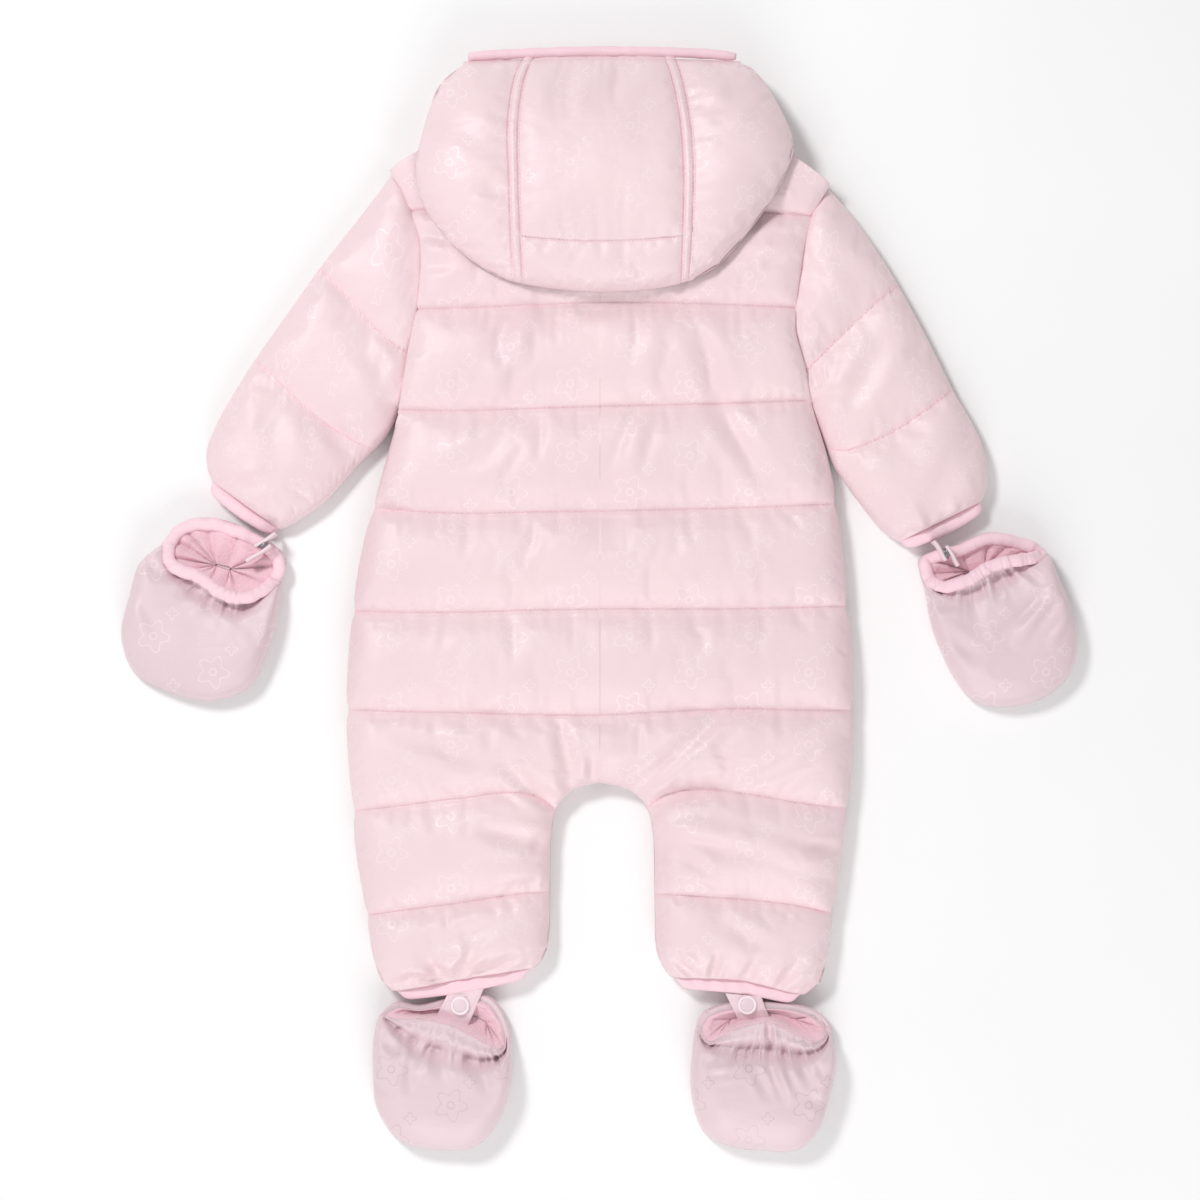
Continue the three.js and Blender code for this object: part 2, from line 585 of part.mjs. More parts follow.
// Flattened tube over a grid of rows that run across it, open at both ends by a thin slit.
function flatTube(rows, topAt, bottomAt, slitMiddle, slitInset, innerRows) {
  const ringOf = (row, top, bottom) => [
    ...row.map((p) => [p[0], p[1], top(p[0], p[1])]),
    ...[...row].reverse().map((p) => [p[0], p[1], bottom(p[0], p[1])]),
  ];
  const inset = (row) => {
    const length = Math.hypot(row[0][0] - row[row.length - 1][0], row[0][1] - row[row.length - 1][1]);
    const share = slitInset / length;
    return row.map((p, j) => {
      const at = lerp(share, 1 - share, j / (row.length - 1)) * (row.length - 1);
      const k = Math.min(Math.floor(at), row.length - 2);
      return mix(row[k], row[k + 1], at - k);
    });
  };
  const outer = rows.map((row) => ringOf(row, topAt, bottomAt));
  const inner = innerRows.map((i) => ringOf(
    inset(rows[i]),
    () => slitMiddle + SLIT / 2,
    () => slitMiddle - SLIT / 2,
  ));
  return hoop([...outer, ...inner.reverse()]);
}

function turnedOut(geometry) {
  const p = geometry.attributes.position;
  const index = geometry.index;
  let volume = 0;
  const corner = (i) => new THREE.Vector3().fromBufferAttribute(p, index.getX(i));
  for (let i = 0; i < index.count; i += 3) {
    volume += corner(i).dot(corner(i + 1).cross(corner(i + 2)));
  }
  if (volume > 0) return geometry;
  const flipped = Array.from(index.array);
  for (let i = 0; i < flipped.length; i += 3) {
    [flipped[i + 1], flipped[i + 2]] = [flipped[i + 2], flipped[i + 1]];
  }
  geometry.setIndex(flipped);
  return geometry;
}

// Sleeves

const SLEEVE_ROWS = 15;
const SLEEVE_COLUMNS = 10;
const CUFF_GATHER = 16;
const CUFF_BOW = 2.4;
const CUFF_TUCK = 1.6;
const CUFF_PUFF = 5.4;
const CUFF_ROUNDING = 9;
const CUFF_SLIT_INSET = 6;
const SLIT_RISE = 0.4;

function sleeveGrid(side) {
  const { outer, inner } = SLEEVES[side];
  const outward = side === 'left' ? -1 : 1;
  return Array.from({ length: SLEEVE_ROWS + 1 }, (_, i) => {
    const t = i / SLEEVE_ROWS;
    const from = pointOn(outer, t);
    const to = pointOn(inner, t);
    return Array.from({ length: SLEEVE_COLUMNS + 1 }, (__, j) => {
      const p = mix(from, to, j / SLEEVE_COLUMNS);
      const start = mix(outer[0], inner[0], j / SLEEVE_COLUMNS);
      const bulge = sideEdgeAt(side, start[1]) + outward * ARMHOLE_GAP - start[0];
      return [p[0] + bulge * Math.max(1 - t * 2.2, 0) ** 1.6, p[1]];
    });
  });
}

function cuffGrid(side, rows) {
  const { outer, inner } = SLEEVES[side];
  const last = rows[rows.length - 1];
  const onward = [outer[9][0] - outer[8][0], outer[9][1] - outer[8][1]];
  const across = [inner[9][0] - outer[9][0], inner[9][1] - outer[9][1]];
  const length = Math.hypot(across[0], across[1]);
  let normal = [across[1] / length, -across[0] / length];
  if (normal[0] * onward[0] + normal[1] * onward[1] < 0) normal = [-normal[0], -normal[1]];
  return [SEAM_GAP, BINDING_WIDTH / 2, BINDING_WIDTH].map((reach, k) => last.map((p, j) => {
    const s = j / SLEEVE_COLUMNS;
    const bow = 4 * s * (1 - s) * CUFF_BOW * (k / 2);
    const tuck = (0.5 - s) * 2 * CUFF_TUCK * (k / 2);
    return [
      p[0] + normal[0] * (reach + bow) + (across[0] / length) * tuck,
      p[1] + normal[1] * (reach + bow) + (across[1] / length) * tuck,
    ];
  }));
}

function sleeveHeights(side, rows) {
  const { lines, folds } = SLEEVES[side];
  const edges = [rows.map((row) => row[0]), rows.map((row) => row[SLEEVE_COLUMNS])];
  const armhole = rows[0];
  const cuff = rows[rows.length - 1];
  const top = (x, y) => {
    const puff = quarterRound(nearestOf(x, y, lines), PUFF_REACH);
    const edge = quarterRound(nearestOf(x, y, edges), SIDE_ROUNDING);
    const seam = quarterRound(distanceToLine(x, y, armhole), ARMHOLE_ROUNDING);
    const end = quarterRound(distanceToLine(x, y, cuff), CUFF_GATHER);
    const full = lerp(SLEEVE_STITCH, SLEEVE_PUFF, puff) * lerp(SLEEVE_SEAM_SHARE, 1, seam)
      * lerp(SLEEVE_CUFF_SHARE, 1, end);
    const rise = Math.max((full + foldHeight(folds, x, y)) * edge, 0);
    return SLEEVE_MIDDLE + SLEEVE_EDGE + rise;
  };
  const bottom = (x, y) => {
    const edge = quarterRound(nearestOf(x, y, edges), UNDERSIDE_ROUNDING);
    const stitched = 1 - quarterRound(nearestOf(x, y, lines), STITCH_REACH);
    return Math.max((SLEEVE_MIDDLE - SLEEVE_EDGE) * (1 - edge), UNDERSIDE_GROOVE * stitched);
  };
  return { top, bottom };
}

function addSleeve(side) {
  const rows = sleeveGrid(side);
  const { top, bottom } = sleeveHeights(side, rows);
  const innerRows = [0, 4, 9, SLEEVE_ROWS];
  const tube = flatTube(rows, top, bottom, SLEEVE_MIDDLE + SLIT_RISE, SLIT_INSET, innerRows);
  addPiece(`sleeve_${side}`, turnedOut(tube), PINK);
  const cuff = cuffGrid(side, rows);
  const roundOff = (x, y) => quarterRound(nearestOf(x, y, [
    cuff.map((row) => row[0]),
    cuff.map((row) => row[SLEEVE_COLUMNS]),
  ]), CUFF_ROUNDING);
  const cuffTop = (x, y) => SLEEVE_MIDDLE + SLEEVE_EDGE + CUFF_PUFF * roundOff(x, y);
  const cuffBottom = (x, y) => (SLEEVE_MIDDLE - SLEEVE_EDGE) * (1 - roundOff(x, y));
  const ring = flatTube(cuff, cuffTop, cuffBottom, SLEEVE_MIDDLE + SLIT_RISE, CUFF_SLIT_INSET, [0, 2]);
  addPiece(`cuff_binding_${side}`, turnedOut(ring), BINDING_PINK);
}

// Hem bindings: a flat ring below each leg's hem.

const HEM_COLUMNS = 10;
const HEM_GAP = 0.9;
const HEM_TUCK = 4;
const HEM_BOW = 1.5;
const HEM_PUFF = 3.4;
const HEM_ROUNDING = 11;
const HEM_SLIT_INSET = 8;

function addHemBinding(side) {
  const hem = BODY_LINES[0].heights;
  const heightAt = (x) => lineHeight(hem, x);
  const from = sideOf(side, heightAt);
  const to = innerOf(side, heightAt);
  const rows = [HEM_GAP, BINDING_WIDTH / 2, BINDING_WIDTH].map((reach, k) => {
    return Array.from({ length: HEM_COLUMNS + 1 }, (_, j) => {
      const s = j / HEM_COLUMNS;
      const x = lerp(from, to, s) + (0.5 - s) * 2 * Math.sign(to - from) * HEM_TUCK * (k / 2);
      return [x, heightAt(x) - reach - 4 * s * (1 - s) * HEM_BOW * (k / 2)];
    });
  });
  const edges = [rows.map((row) => row[0]), rows.map((row) => row[HEM_COLUMNS])];
  const roundOff = (x, y) => quarterRound(nearestOf(x, y, edges), HEM_ROUNDING);
  const top = (x, y) => BACK_BOTTOM + EDGE_THICKNESS + HEM_PUFF * roundOff(x, y);
  const bottom = (x, y) => (FRONT_THICKNESS - EDGE_THICKNESS) * (1 - roundOff(x, y));
  const ring = flatTube(rows, top, bottom, BACK_BOTTOM - SEAM_GAP / 2, HEM_SLIT_INSET, [0, 2]);
  addPiece(`hem_binding_${side}`, turnedOut(ring), BINDING_PINK);
}

// Hood

const HOOD_OUTLINE = [
  ...HOOD_LEFT_EDGE,
  ...HOOD_BOTTOM.slice(1, -1),
  ...[...HOOD_RIGHT_EDGE].reverse(),
];
const HOOD_RIM = [...HOOD_OUTLINE, ...[...HOOD_TOP.slice(1, -1)].reverse()];
const lineTable = (points) => points.map(([x, y]) => ({ x, y }));
const lineAt = (points, x) => along(lineTable(points), 'x', 'y', x);
const seamAt = (column, y) => along([...HOOD_SEAMS].reverse(), 'y', column, y);

function hoodRound(x, y) {
  return quarterRound(distanceToLine(x, y, [...HOOD_RIM, HOOD_RIM[0]]), HOOD_ROUNDING);
}

function hoodUnderside(x, y) {
  const round = hoodRound(x, y);
  const edge = along(HOOD_PROFILE, 'y', 'edge', y);
  const rise = along(HOOD_PROFILE, 'y', 'rise', y);
  const wall = lerp(HOOD_WALL_EDGE, HOOD_WALL, round);
  return Math.max(edge + rise * round - wall, coverHeight(x, y) + LAYER_GAP);
}

// Top of the body below a point of the hood, with the body's outline widened a little.
function coverHeight(x, y) {
  const left = along(BODY_SIDES, 'y', 'left', y) - 3;
  const right = along(BODY_SIDES, 'y', 'right', y) + 3;
  if (x < left || x > right || y > lineHeight(BODY_LINES[9].heights, x) + 3) return 0;
  return backTop(x, y);
}

const HOOD_PUFF = 3;
const SEAM_REACH = 16;

function hoodTop(x, y) {
  const traces = ['leftOuter', 'leftInner', 'rightInner', 'rightOuter'].map(
    (column) => tracePoints(HOOD_SEAMS, column),
  );
  const seams = Math.min(nearestOf(x, y, traces), distanceToLine(x, y, HOOD_CROSS));
  const round = hoodRound(x, y);
  const wall = lerp(HOOD_WALL_EDGE, HOOD_WALL, round) - HOOD_PUFF * 0.6 * round;
  return hoodUnderside(x, y) + wall + HOOD_PUFF * round * quarterRound(seams, SEAM_REACH);
}

function strip(rows, columns, topLine, bottomLine, leftAt, rightAt) {
  return Array.from({ length: rows + 1 }, (_, i) => Array.from({ length: columns + 1 }, (__, j) => {
    let x = 0;
    let y = 0;
    for (let pass = 0; pass < 4; pass += 1) {
      y = lerp(topLine(x), bottomLine(x), i / rows);
      x = lerp(leftAt(y), rightAt(y), j / columns);
    }
    return [x, y];
  }));
}

function hoodSideGrid(edge, column, offset) {
  const rows = 11;
  const columns = 5;
  const bottom = edge[edge.length - 1][1];
  return Array.from({ length: rows + 1 }, (_, i) => {
    const t = i / rows;
    const outer = pointOn(edge, t);
    const seamY = lerp(edge[0][1] + 1.4, bottom - 0.6, t);
    const inner = [seamAt(column, seamY) + offset, seamY];
    return Array.from({ length: columns + 1 }, (__, j) => mix(outer, inner, j / columns));
  });
}

// Grids of the hood's panels, each ending the given distance short of its seams.
function hoodGrids(half) {
  const top = (x) => lineAt(HOOD_TOP, x);
  const cross = (x) => lineAt(HOOD_CROSS, x);
  const bottom = (x) => lineAt(HOOD_BOTTOM, x) + 0.2;
  const seam = (column, offset) => (y) => seamAt(column, y) + offset;
  const middle = [seam('leftInner', half), seam('rightInner', -half)];
  const leftBand = [seam('leftOuter', half), seam('leftInner', -half)];
  const rightBand = [seam('rightInner', half), seam('rightOuter', -half)];
  return {
    hood_middle_upper: strip(9, 7, top, (x) => cross(x) + half, ...middle),
    hood_middle_lower: strip(3, 7, (x) => cross(x) - half, bottom, ...middle),
    hood_band_left: strip(11, 1, top, bottom, ...leftBand),
    hood_band_right: strip(11, 1, top, bottom, ...rightBand),
    hood_side_left: hoodSideGrid(HOOD_LEFT_EDGE, 'leftOuter', -half),
    hood_side_right: hoodSideGrid(HOOD_RIGHT_EDGE, 'rightOuter', half),
  };
}

function addHood() {
  for (const [name, rows] of Object.entries(hoodGrids(SEAM_GAP / 2))) {
    addPiece(name, thicken(gridCells(rows), hoodTop, hoodUnderside), PINK);
  }
  addHoodBinding();
  addHoodUnder();
}

// Binding along the face opening, at the top of the hood.
const HOOD_BINDING = {
  from: -84.5, to: 87.2, steps: 16, sides: 8, halfWidth: 3.3, halfHeight: 3.6, endShare: 0.62,
};

function addHoodBinding() {
  const { from, to, steps, sides, halfWidth, halfHeight, endShare } = HOOD_BINDING;
  const rings = Array.from({ length: steps + 1 }, (_, i) => {
    const x = lerp(from, to, i / steps);
    const y = lineAt(HOOD_TOP, x) + SEAM_GAP + halfWidth + 0.1;
    const z = hoodUnderside(x, lineAt(HOOD_TOP, x)) + 2.4;
    const taper = lerp(endShare, 1, Math.sqrt(quarterRound(Math.min(i, steps - i) / steps, 0.14)));
    return Array.from({ length: sides }, (__, j) => {
      const angle = (2 * Math.PI * j) / sides;
      return [x, y + Math.cos(angle) * halfWidth * taper, z + Math.sin(angle) * halfHeight * taper];
    });
  });
  const ends = [rings[0], rings[steps]].map(
    (ring) => [0, 1, 2].map((axis) => ring.reduce((sum, p) => sum + p[axis], 0) / ring.length),
  );
  addPiece('hood_binding', turnedOut(loft(rings, ends[0], ends[1])), BINDING_PINK);
}

// The hood's lower layers as one rounded solid that lies on the back and, past the
// shoulders, on the surface.
const UNDER_CENTRE = [2, 276];
const UNDER_COUNT = 40;
const UNDER_RINGS = [0.4, 0.72, 0.92, 1];
const HOOD_CLEAR = 90;

function addHoodUnder() {
  const rim = closedCurve(HOOD_RIM, UNDER_COUNT);
  const inset = rim.map((p) => {
    const distance = lerp(8, 3, clamp((p[1] - 280) / 40, 0, 1));
    const length = Math.hypot(p[0] - UNDER_CENTRE[0], p[1] - UNDER_CENTRE[1]);
    return mix(p, UNDER_CENTRE, distance / length);
  });
  const ringAt = (share, heightAt) => inset.map((p) => {
    const [x, y] = mix(UNDER_CENTRE, p, share);
    return [x, y, heightAt(x, y)];
  });
  const top = (x, y) => hoodUnderside(x, y) + 4;
  const rings = [
    ringAt(0.94, () => 0),
    ringAt(1, () => 3),
    ...[...UNDER_RINGS].reverse().map((share) => ringAt(share, top)),
  ];
  const [cx, cy] = UNDER_CENTRE;
  const blob = turnedOut(loft(rings, [cx, cy, 0], [cx, cy, top(cx, cy)]));
  const widen = (p) => {
    const grow = 1 + LAYER_GAP / 110;
    return [p[0] * grow, p[1] > 250 ? p[1] + LAYER_GAP * (p[1] - 250) / 40 : p[1]];
  };
  const cells = backCells().filter((cell) => cell[0][1] > 120);
  const cutter = thicken(
    cells.map((cell) => cell.map(widen)),
    (x, y) => backTop(x, y) + LAYER_GAP,
    () => -1,
  );
  const panels = Object.values(hoodGrids(-LAYER_GAP)).map((rows) => toManifold(thicken(
    gridCells(rows),
    () => HOOD_CLEAR,
    (x, y) => hoodUnderside(x, y) - LAYER_GAP,
  )));
  const solid = [toManifold(cutter), ...panels].reduce(
    (left, cut) => left.subtract(cut),
    toManifold(blob),
  );
  const largest = solid.decompose().sort((a, b) => b.volume() - a.volume())[0];
  addPiece('hood_under', fromManifold(largest), PINK);
}

// Mittens and booties

const POUCH_COUNT = 30;
const POUCH_GATHERS = 10;
const LINING_WALL = 2.4;
const LINING_GAP = 0.9;
const LIP_INSET = 3;
const LIP_DROP = 2;
const FLOOR_INSET = 6;
const RIM_SIDES = 5;
const RIM_SHIFT = 1.4;
const RIM_RISE = 3.9;
const BINDING_DIP = 2.4;

function centreOf(points) {
  return [0, 1].map((axis) => points.reduce((sum, p) => sum + p[axis], 0) / points.length);
}

// Ring between the foot of the wall (0) and the mouth (1), and beyond it into the mouth.
function pouchRing(body, mouth, share, heightAt) {
  return body.map((p, i) => {
    const [x, y] = mix(p, mouth[i], share);
    return [x, y, heightAt(i)];
  });
}

// Ring moved in from a closed curve towards a line along its middle, never reaching it.
function insetRing(points, axis, distance, heightAt) {
  return points.map((p, i) => {
    const near = nearestPoint(p, axis);
    const [x, y] = mix(p, near.point, 1 - Math.exp(-distance / near.distance));
    return [x, y, heightAt(i)];
  });
}

function nearestPoint(p, line) {
  let best = { distance: Infinity };
  for (let i = 0; i + 1 < line.length; i += 1) {
    const { distance, t } = distanceToSegment(p[0], p[1], line[i], line[i + 1]);
    if (distance < best.distance) best = { distance, point: mix(line[i], line[i + 1], t) };
  }
  return best;
}

// A pouch: flat underside, rounded wall, gathered neck and a mouth that opens upwards.
function addPouch(name, pairs, sizes) {
  const body = closedCurve(pairs.map((pair) => pair.body), POUCH_COUNT);
  const mouth = closedCurve(pairs.map((pair) => pair.mouth), POUCH_COUNT);
  const depth = body.map((p, i) => Math.hypot(p[0] - mouth[i][0], p[1] - mouth[i][1]));
  const deepest = Math.max(...depth);
  const front = depth.map((d) => quarterRound(d - 4, deepest * 0.8));
  const lip = front.map((share) => lerp(sizes.backRim, sizes.frontRim, share));
  const puff = (i, share, gather) => {
    const wave = Math.cos((2 * Math.PI * POUCH_GATHERS * i) / POUCH_COUNT) * gather;
    return lerp(lip[i], sizes.puff, front[i] * Math.sin(Math.PI * share) ** 0.7) + wave * front[i];
  };
  const middle = pointOn(sizes.axis, 0.5);
  const base = centreOf(body);
  const bodyAxis = [base, [base[0] + 1, base[1]]];
  const rings = [
    insetRing(body, bodyAxis, 9, () => 0),
    insetRing(body, bodyAxis, 2.4, () => 1.2),
    pouchRing(body, mouth, 0, () => 5),
    pouchRing(body, mouth, 0.05, (i) => lerp(8, puff(i, 0.15, 0), 0.6)),
    pouchRing(body, mouth, 0.25, (i) => puff(i, 0.35, 0)),
    pouchRing(body, mouth, 0.5, (i) => puff(i, 0.55, 0)),
    pouchRing(body, mouth, 0.72, (i) => puff(i, 0.8, 0.8)),
    pouchRing(body, mouth, 0.84, (i) => puff(i, 1, 1) - BINDING_DIP * front[i]),
    pouchRing(body, mouth, 1, (i) => lip[i]),
    insetRing(mouth, sizes.axis, LIP_INSET, (i) => lip[i] - LIP_DROP),
    insetRing(mouth, sizes.axis, FLOOR_INSET, () => sizes.floor),
  ];
  const shell = loft(rings, [base[0], base[1], 0], [middle[0], middle[1], sizes.floor]);
  addPiece(`${name}_shell`, turnedOut(shell), PINK);
  const low = sizes.floor + SEAM_GAP;
  const reach = LIP_INSET + LINING_GAP;
  const liningRing = (distance, heightAt) => insetRing(mouth, sizes.axis, distance, heightAt);
  const liningRings = [
    liningRing(FLOOR_INSET + LINING_GAP, () => low),
    liningRing(reach, (i) => lip[i] - LIP_DROP + SEAM_GAP),
    liningRing(reach - 1.6, (i) => lip[i] + 0.4),
    liningRing(reach + LINING_WALL - 1, (i) => lip[i] + 0.2),
    liningRing(reach + LINING_WALL + 3.4, () => low + LINING_WALL),
  ];
  const lining = loft(liningRings, [...middle, low], [...middle, low + LINING_WALL]);
  addPiece(`${name}_lining`, turnedOut(lining), FLEECE_PINK);
  if (!sizes.rim) return;
  const rimRings = mouth.map((p, i) => {
    const length = Math.hypot(p[0] - middle[0], p[1] - middle[1]);
    const out = [(p[0] - middle[0]) / length, (p[1] - middle[1]) / length];
    return Array.from({ length: RIM_SIDES }, (_, j) => {
      const angle = (2 * Math.PI * (j + 0.5)) / RIM_SIDES;
      const side = Math.cos(angle) * sizes.rim - RIM_SHIFT;
      const height = lip[i] + RIM_RISE + Math.sin(angle) * sizes.rim;
      return [p[0] + out[0] * side, p[1] + out[1] * side, height];
    });
  });
  addPiece(`${name}_rim`, turnedOut(hoop(rimRings)), BINDING_PINK);
}

const MITTEN_SIZES = { puff: 27, frontRim: 21, backRim: 10, floor: 5, rim: 2.6 };
const BOOTIE_SIZES = { puff: 29, frontRim: 24, backRim: 14, floor: 5, rim: 0 };
const MOUTH_AXES = {
  mitten_left: [[-260, 33], [-240, 27], [-218, 20]],
  mitten_right: [[218, 18], [240, 26], [268, 32]],
  bootie_left: [[-130, -265], [-104, -265.4], [-80, -269], [-68, -278]],
  bootie_right: [[74, -275], [88, -269.6], [106, -266.4], [120, -269.4], [138, -275.4]],
};

// Straps and snaps

const STRAP_THICKNESS = 1.6;
const SNAP_RADIUS = 6;

function addBootieStrap(side) {
  const { corners, heights, snap } = BOOTIE_STRAPS[side];
  const [a, b, c, d] = corners;
  const rows = [0, 0.5, 1].map((t) => [mix(a, d, t), mix(b, c, t)]);
  const start = mix(a, b, 0.5);
  const end = mix(d, c, 0.5);
  const length = Math.hypot(end[0] - start[0], end[1] - start[1]);
  const direction = [(end[0] - start[0]) / length, (end[1] - start[1]) / length];
  const heightAt = (x, y) => {
    const t = ((x - start[0]) * direction[0] + (y - start[1]) * direction[1]) / length;
    return lerp(heights[0], heights[1], t);
  };
  const strap = thicken(gridCells(rows), (x, y) => heightAt(x, y) + STRAP_THICKNESS, heightAt);
  addPiece(`bootie_${side}_strap`, strap, PINK);
  const height = heightAt(snap[0], snap[1]) + STRAP_THICKNESS;
  addSnap(`bootie_${side}_snap`, snap, height, Math.atan((heights[1] - heights[0]) / length), direction);
}

function snapProfile() {
  return [[0, 0], [5.4, 0], [SNAP_RADIUS, 0.7], [5.6, 1.5], [4.8, 1.6], [4.2, 0.9], [0, 0.9]].map(
    ([x, y]) => new THREE.Vector2(x, y),
  );
}

function addSnap(name, place, height, tilt, direction) {
  const snap = new THREE.LatheGeometry(snapProfile(), 16);
  snap.rotateX(Math.PI / 2);
  const axis = new THREE.Vector3(direction[1], -direction[0], 0);
  snap.applyMatrix4(new THREE.Matrix4().makeRotationAxis(axis, tilt));
  snap.translate(place[0], place[1], height + 0.4);
  addPiece(name, turnedOut(cleaned(snap)), SNAP_PINK);
}

// A mitten's strap stands on edge: a tab from the cuff, a tab from the mitten and a steel
// snap pressed between them.
const TAB_HEIGHT = 9.6;
const TAB_FLOOR = 16.8;
const SNAP_GAP = 3.2;
const FOOT_SHARE = 0.3;
const FOOT_FLOOR = 7.5;
const STEEL_SNAP_RADIUS = 4.4;

function uprightPlate(from, to, offset, thickness, foot = 0) {
  const length = Math.hypot(to[0] - from[0], to[1] - from[1]);
  const normal = [-(to[1] - from[1]) / length, (to[0] - from[0]) / length];
  const shift = (p, by) => [p[0] + normal[0] * by, p[1] + normal[1] * by];
  const rowAt = (by) => [0, FOOT_SHARE, 1].map((t) => shift(mix(from, to, t), by));
  const bottom = (x, y) => (Math.hypot(x - from[0], y - from[1]) < foot ? FOOT_FLOOR : TAB_FLOOR);
  const cells = gridCells([rowAt(offset), rowAt(offset + thickness)]);
  return thicken(cells, () => TAB_FLOOR + TAB_HEIGHT, bottom);
}

function addMittenStrap(side) {
  const { suitEnd, middle, farEnd } = MITTEN_STRAPS[side];
  const beyond = mix(middle, farEnd, 0.35);
  const before = mix(middle, suitEnd, 0.35);
  addPiece(`mitten_${side}_strap`, uprightPlate(suitEnd, beyond, 0, STRAP_THICKNESS, 2), PINK);
  const offset = STRAP_THICKNESS + SNAP_GAP;
  addPiece(`mitten_${side}_tab`, uprightPlate(before, farEnd, offset, STRAP_THICKNESS), PINK);
  const length = Math.hypot(farEnd[0] - suitEnd[0], farEnd[1] - suitEnd[1]);
  const normal = [-(farEnd[1] - suitEnd[1]) / length, (farEnd[0] - suitEnd[0]) / length];
  const thickness = SNAP_GAP - 2 * SEAM_GAP;
  const profile = [[0, 0], [STEEL_SNAP_RADIUS, 0], [STEEL_SNAP_RADIUS, 1], [3, 1.2],
    [3, thickness], [0, thickness]];
  const snap = new THREE.LatheGeometry(profile.map(([x, y]) => new THREE.Vector2(x, y)), 14);
  snap.rotateZ(-Math.PI / 2);
  snap.rotateZ(Math.atan2(normal[1], normal[0]));
  const reach = STRAP_THICKNESS + SEAM_GAP;
  snap.translate(
    middle[0] + normal[0] * reach,
    middle[1] + normal[1] * reach,
    TAB_FLOOR + TAB_HEIGHT / 2,
  );
  addPiece(`mitten_${side}_snap`, turnedOut(cleaned(snap)), STEEL);
}

// Front zip: the chain lies between the fronts, with its slider at the neck end. The pull
// tab hangs on the slider's bail and points to the hems.
const ZIP_FROM = -106;
const ZIP_TO = 258;
const CHAIN = { low: 5.4, high: 8.4 };
const SLIDER = { y: 236, length: 11, width: 9, low: 3.2 };
const CHEEK = { width: 1.4, length: 4, low: 1, offset: 3.6 };
const PIN = { radius: 0.45, length: 7.4, height: 1.65 };
const PULL = { length: 24, width: 5, low: 0.9, thickness: 1.3, eyeRadius: 1.3, boreRadius: 0.75 };

function box(width, length, low, high, x, y) {
  const geometry = new THREE.BoxGeometry(width, length, high - low);
  geometry.translate(x, y, (high + low) / 2);
  return cleaned(geometry);
}

function addZip() {
  const chainWidth = 2 * (ZIP_HALF_GAP - SEAM_GAP);
  const length = ZIP_TO - ZIP_FROM;
  const chain = box(chainWidth, length, CHAIN.low, CHAIN.high, 0, (ZIP_FROM + ZIP_TO) / 2);
  addPiece('zip_chain', chain, ZIP_PINK);
  const bodyHigh = CHAIN.low - SEAM_GAP;
  const plate = box(SLIDER.width, SLIDER.length, SLIDER.low, bodyHigh, 0, SLIDER.y);
  const cheeks = [-1, 1].map((sign) => box(
    CHEEK.width,
    CHEEK.length,
    CHEEK.low,
    SLIDER.low + 0.2,
    sign * CHEEK.offset,
    SLIDER.y,
  ));
  const slider = [...cheeks, rodAcross(PIN.radius, PIN.length)].reduce(
    (solid, piece) => solid.add(toManifold(piece)),
    toManifold(plate),
  );
  addPiece('zip_slider', fromManifold(slider), STEEL);
  addPull();
}

// Round rod across the suit, centred on the slider's pin.
function rodAcross(radius, length) {
  const rod = new THREE.CylinderGeometry(radius, radius, length, 12);
  rod.rotateZ(Math.PI / 2);
  rod.translate(0, SLIDER.y, PIN.height);
  return cleaned(rod);
}

// Pull tab: a flat tongue with a round end and an eye that turns on the slider's pin.
function addPull() {
  const halfWidth = PULL.width / 2;
  const outline = new THREE.Shape();
  outline.moveTo(-halfWidth, 0);
  outline.lineTo(-halfWidth, -PULL.length + halfWidth);
  outline.absarc(0, -PULL.length + halfWidth, halfWidth, Math.PI, 2 * Math.PI, false);
  outline.lineTo(halfWidth, 0);
  outline.closePath();
  const tongue = new THREE.ExtrudeGeometry(outline, {
    depth: PULL.thickness,
    bevelEnabled: false,
    curveSegments: 10,
  });
  tongue.translate(0, SLIDER.y, PULL.low);
  const solid = toManifold(cleaned(tongue))
    .add(toManifold(rodAcross(PULL.eyeRadius, PULL.width)))
    .subtract(toManifold(rodAcross(PULL.boreRadius, PULL.width + 1)));
  addPiece('zip_pull', fromManifold(solid), STEEL);
}

addBody();
for (const side of ['left', 'right']) {
  addSleeve(side);
  addHemBinding(side);
}
addHood();
addPouch('mitten_left', MITTEN_LEFT, { ...MITTEN_SIZES, axis: MOUTH_AXES.mitten_left });
addPouch('mitten_right', MITTEN_RIGHT, { ...MITTEN_SIZES, axis: MOUTH_AXES.mitten_right });
addPouch('bootie_left', BOOTIE_LEFT, { ...BOOTIE_SIZES, axis: MOUTH_AXES.bootie_left });
addPouch('bootie_right', BOOTIE_RIGHT, { ...BOOTIE_SIZES, axis: MOUTH_AXES.bootie_right });
for (const side of ['left', 'right']) {
  addBootieStrap(side);
  addMittenStrap(side);
}
addZip();

export default group;
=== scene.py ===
# A padded, quilted baby snowsuit laid face down. Tables and helpers are in millimetres;
# every mesh is scaled to metres when it is made.
import math
import bmesh
import bpy
import numpy as np
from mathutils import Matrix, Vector
from mathutils.bvhtree import BVHTree


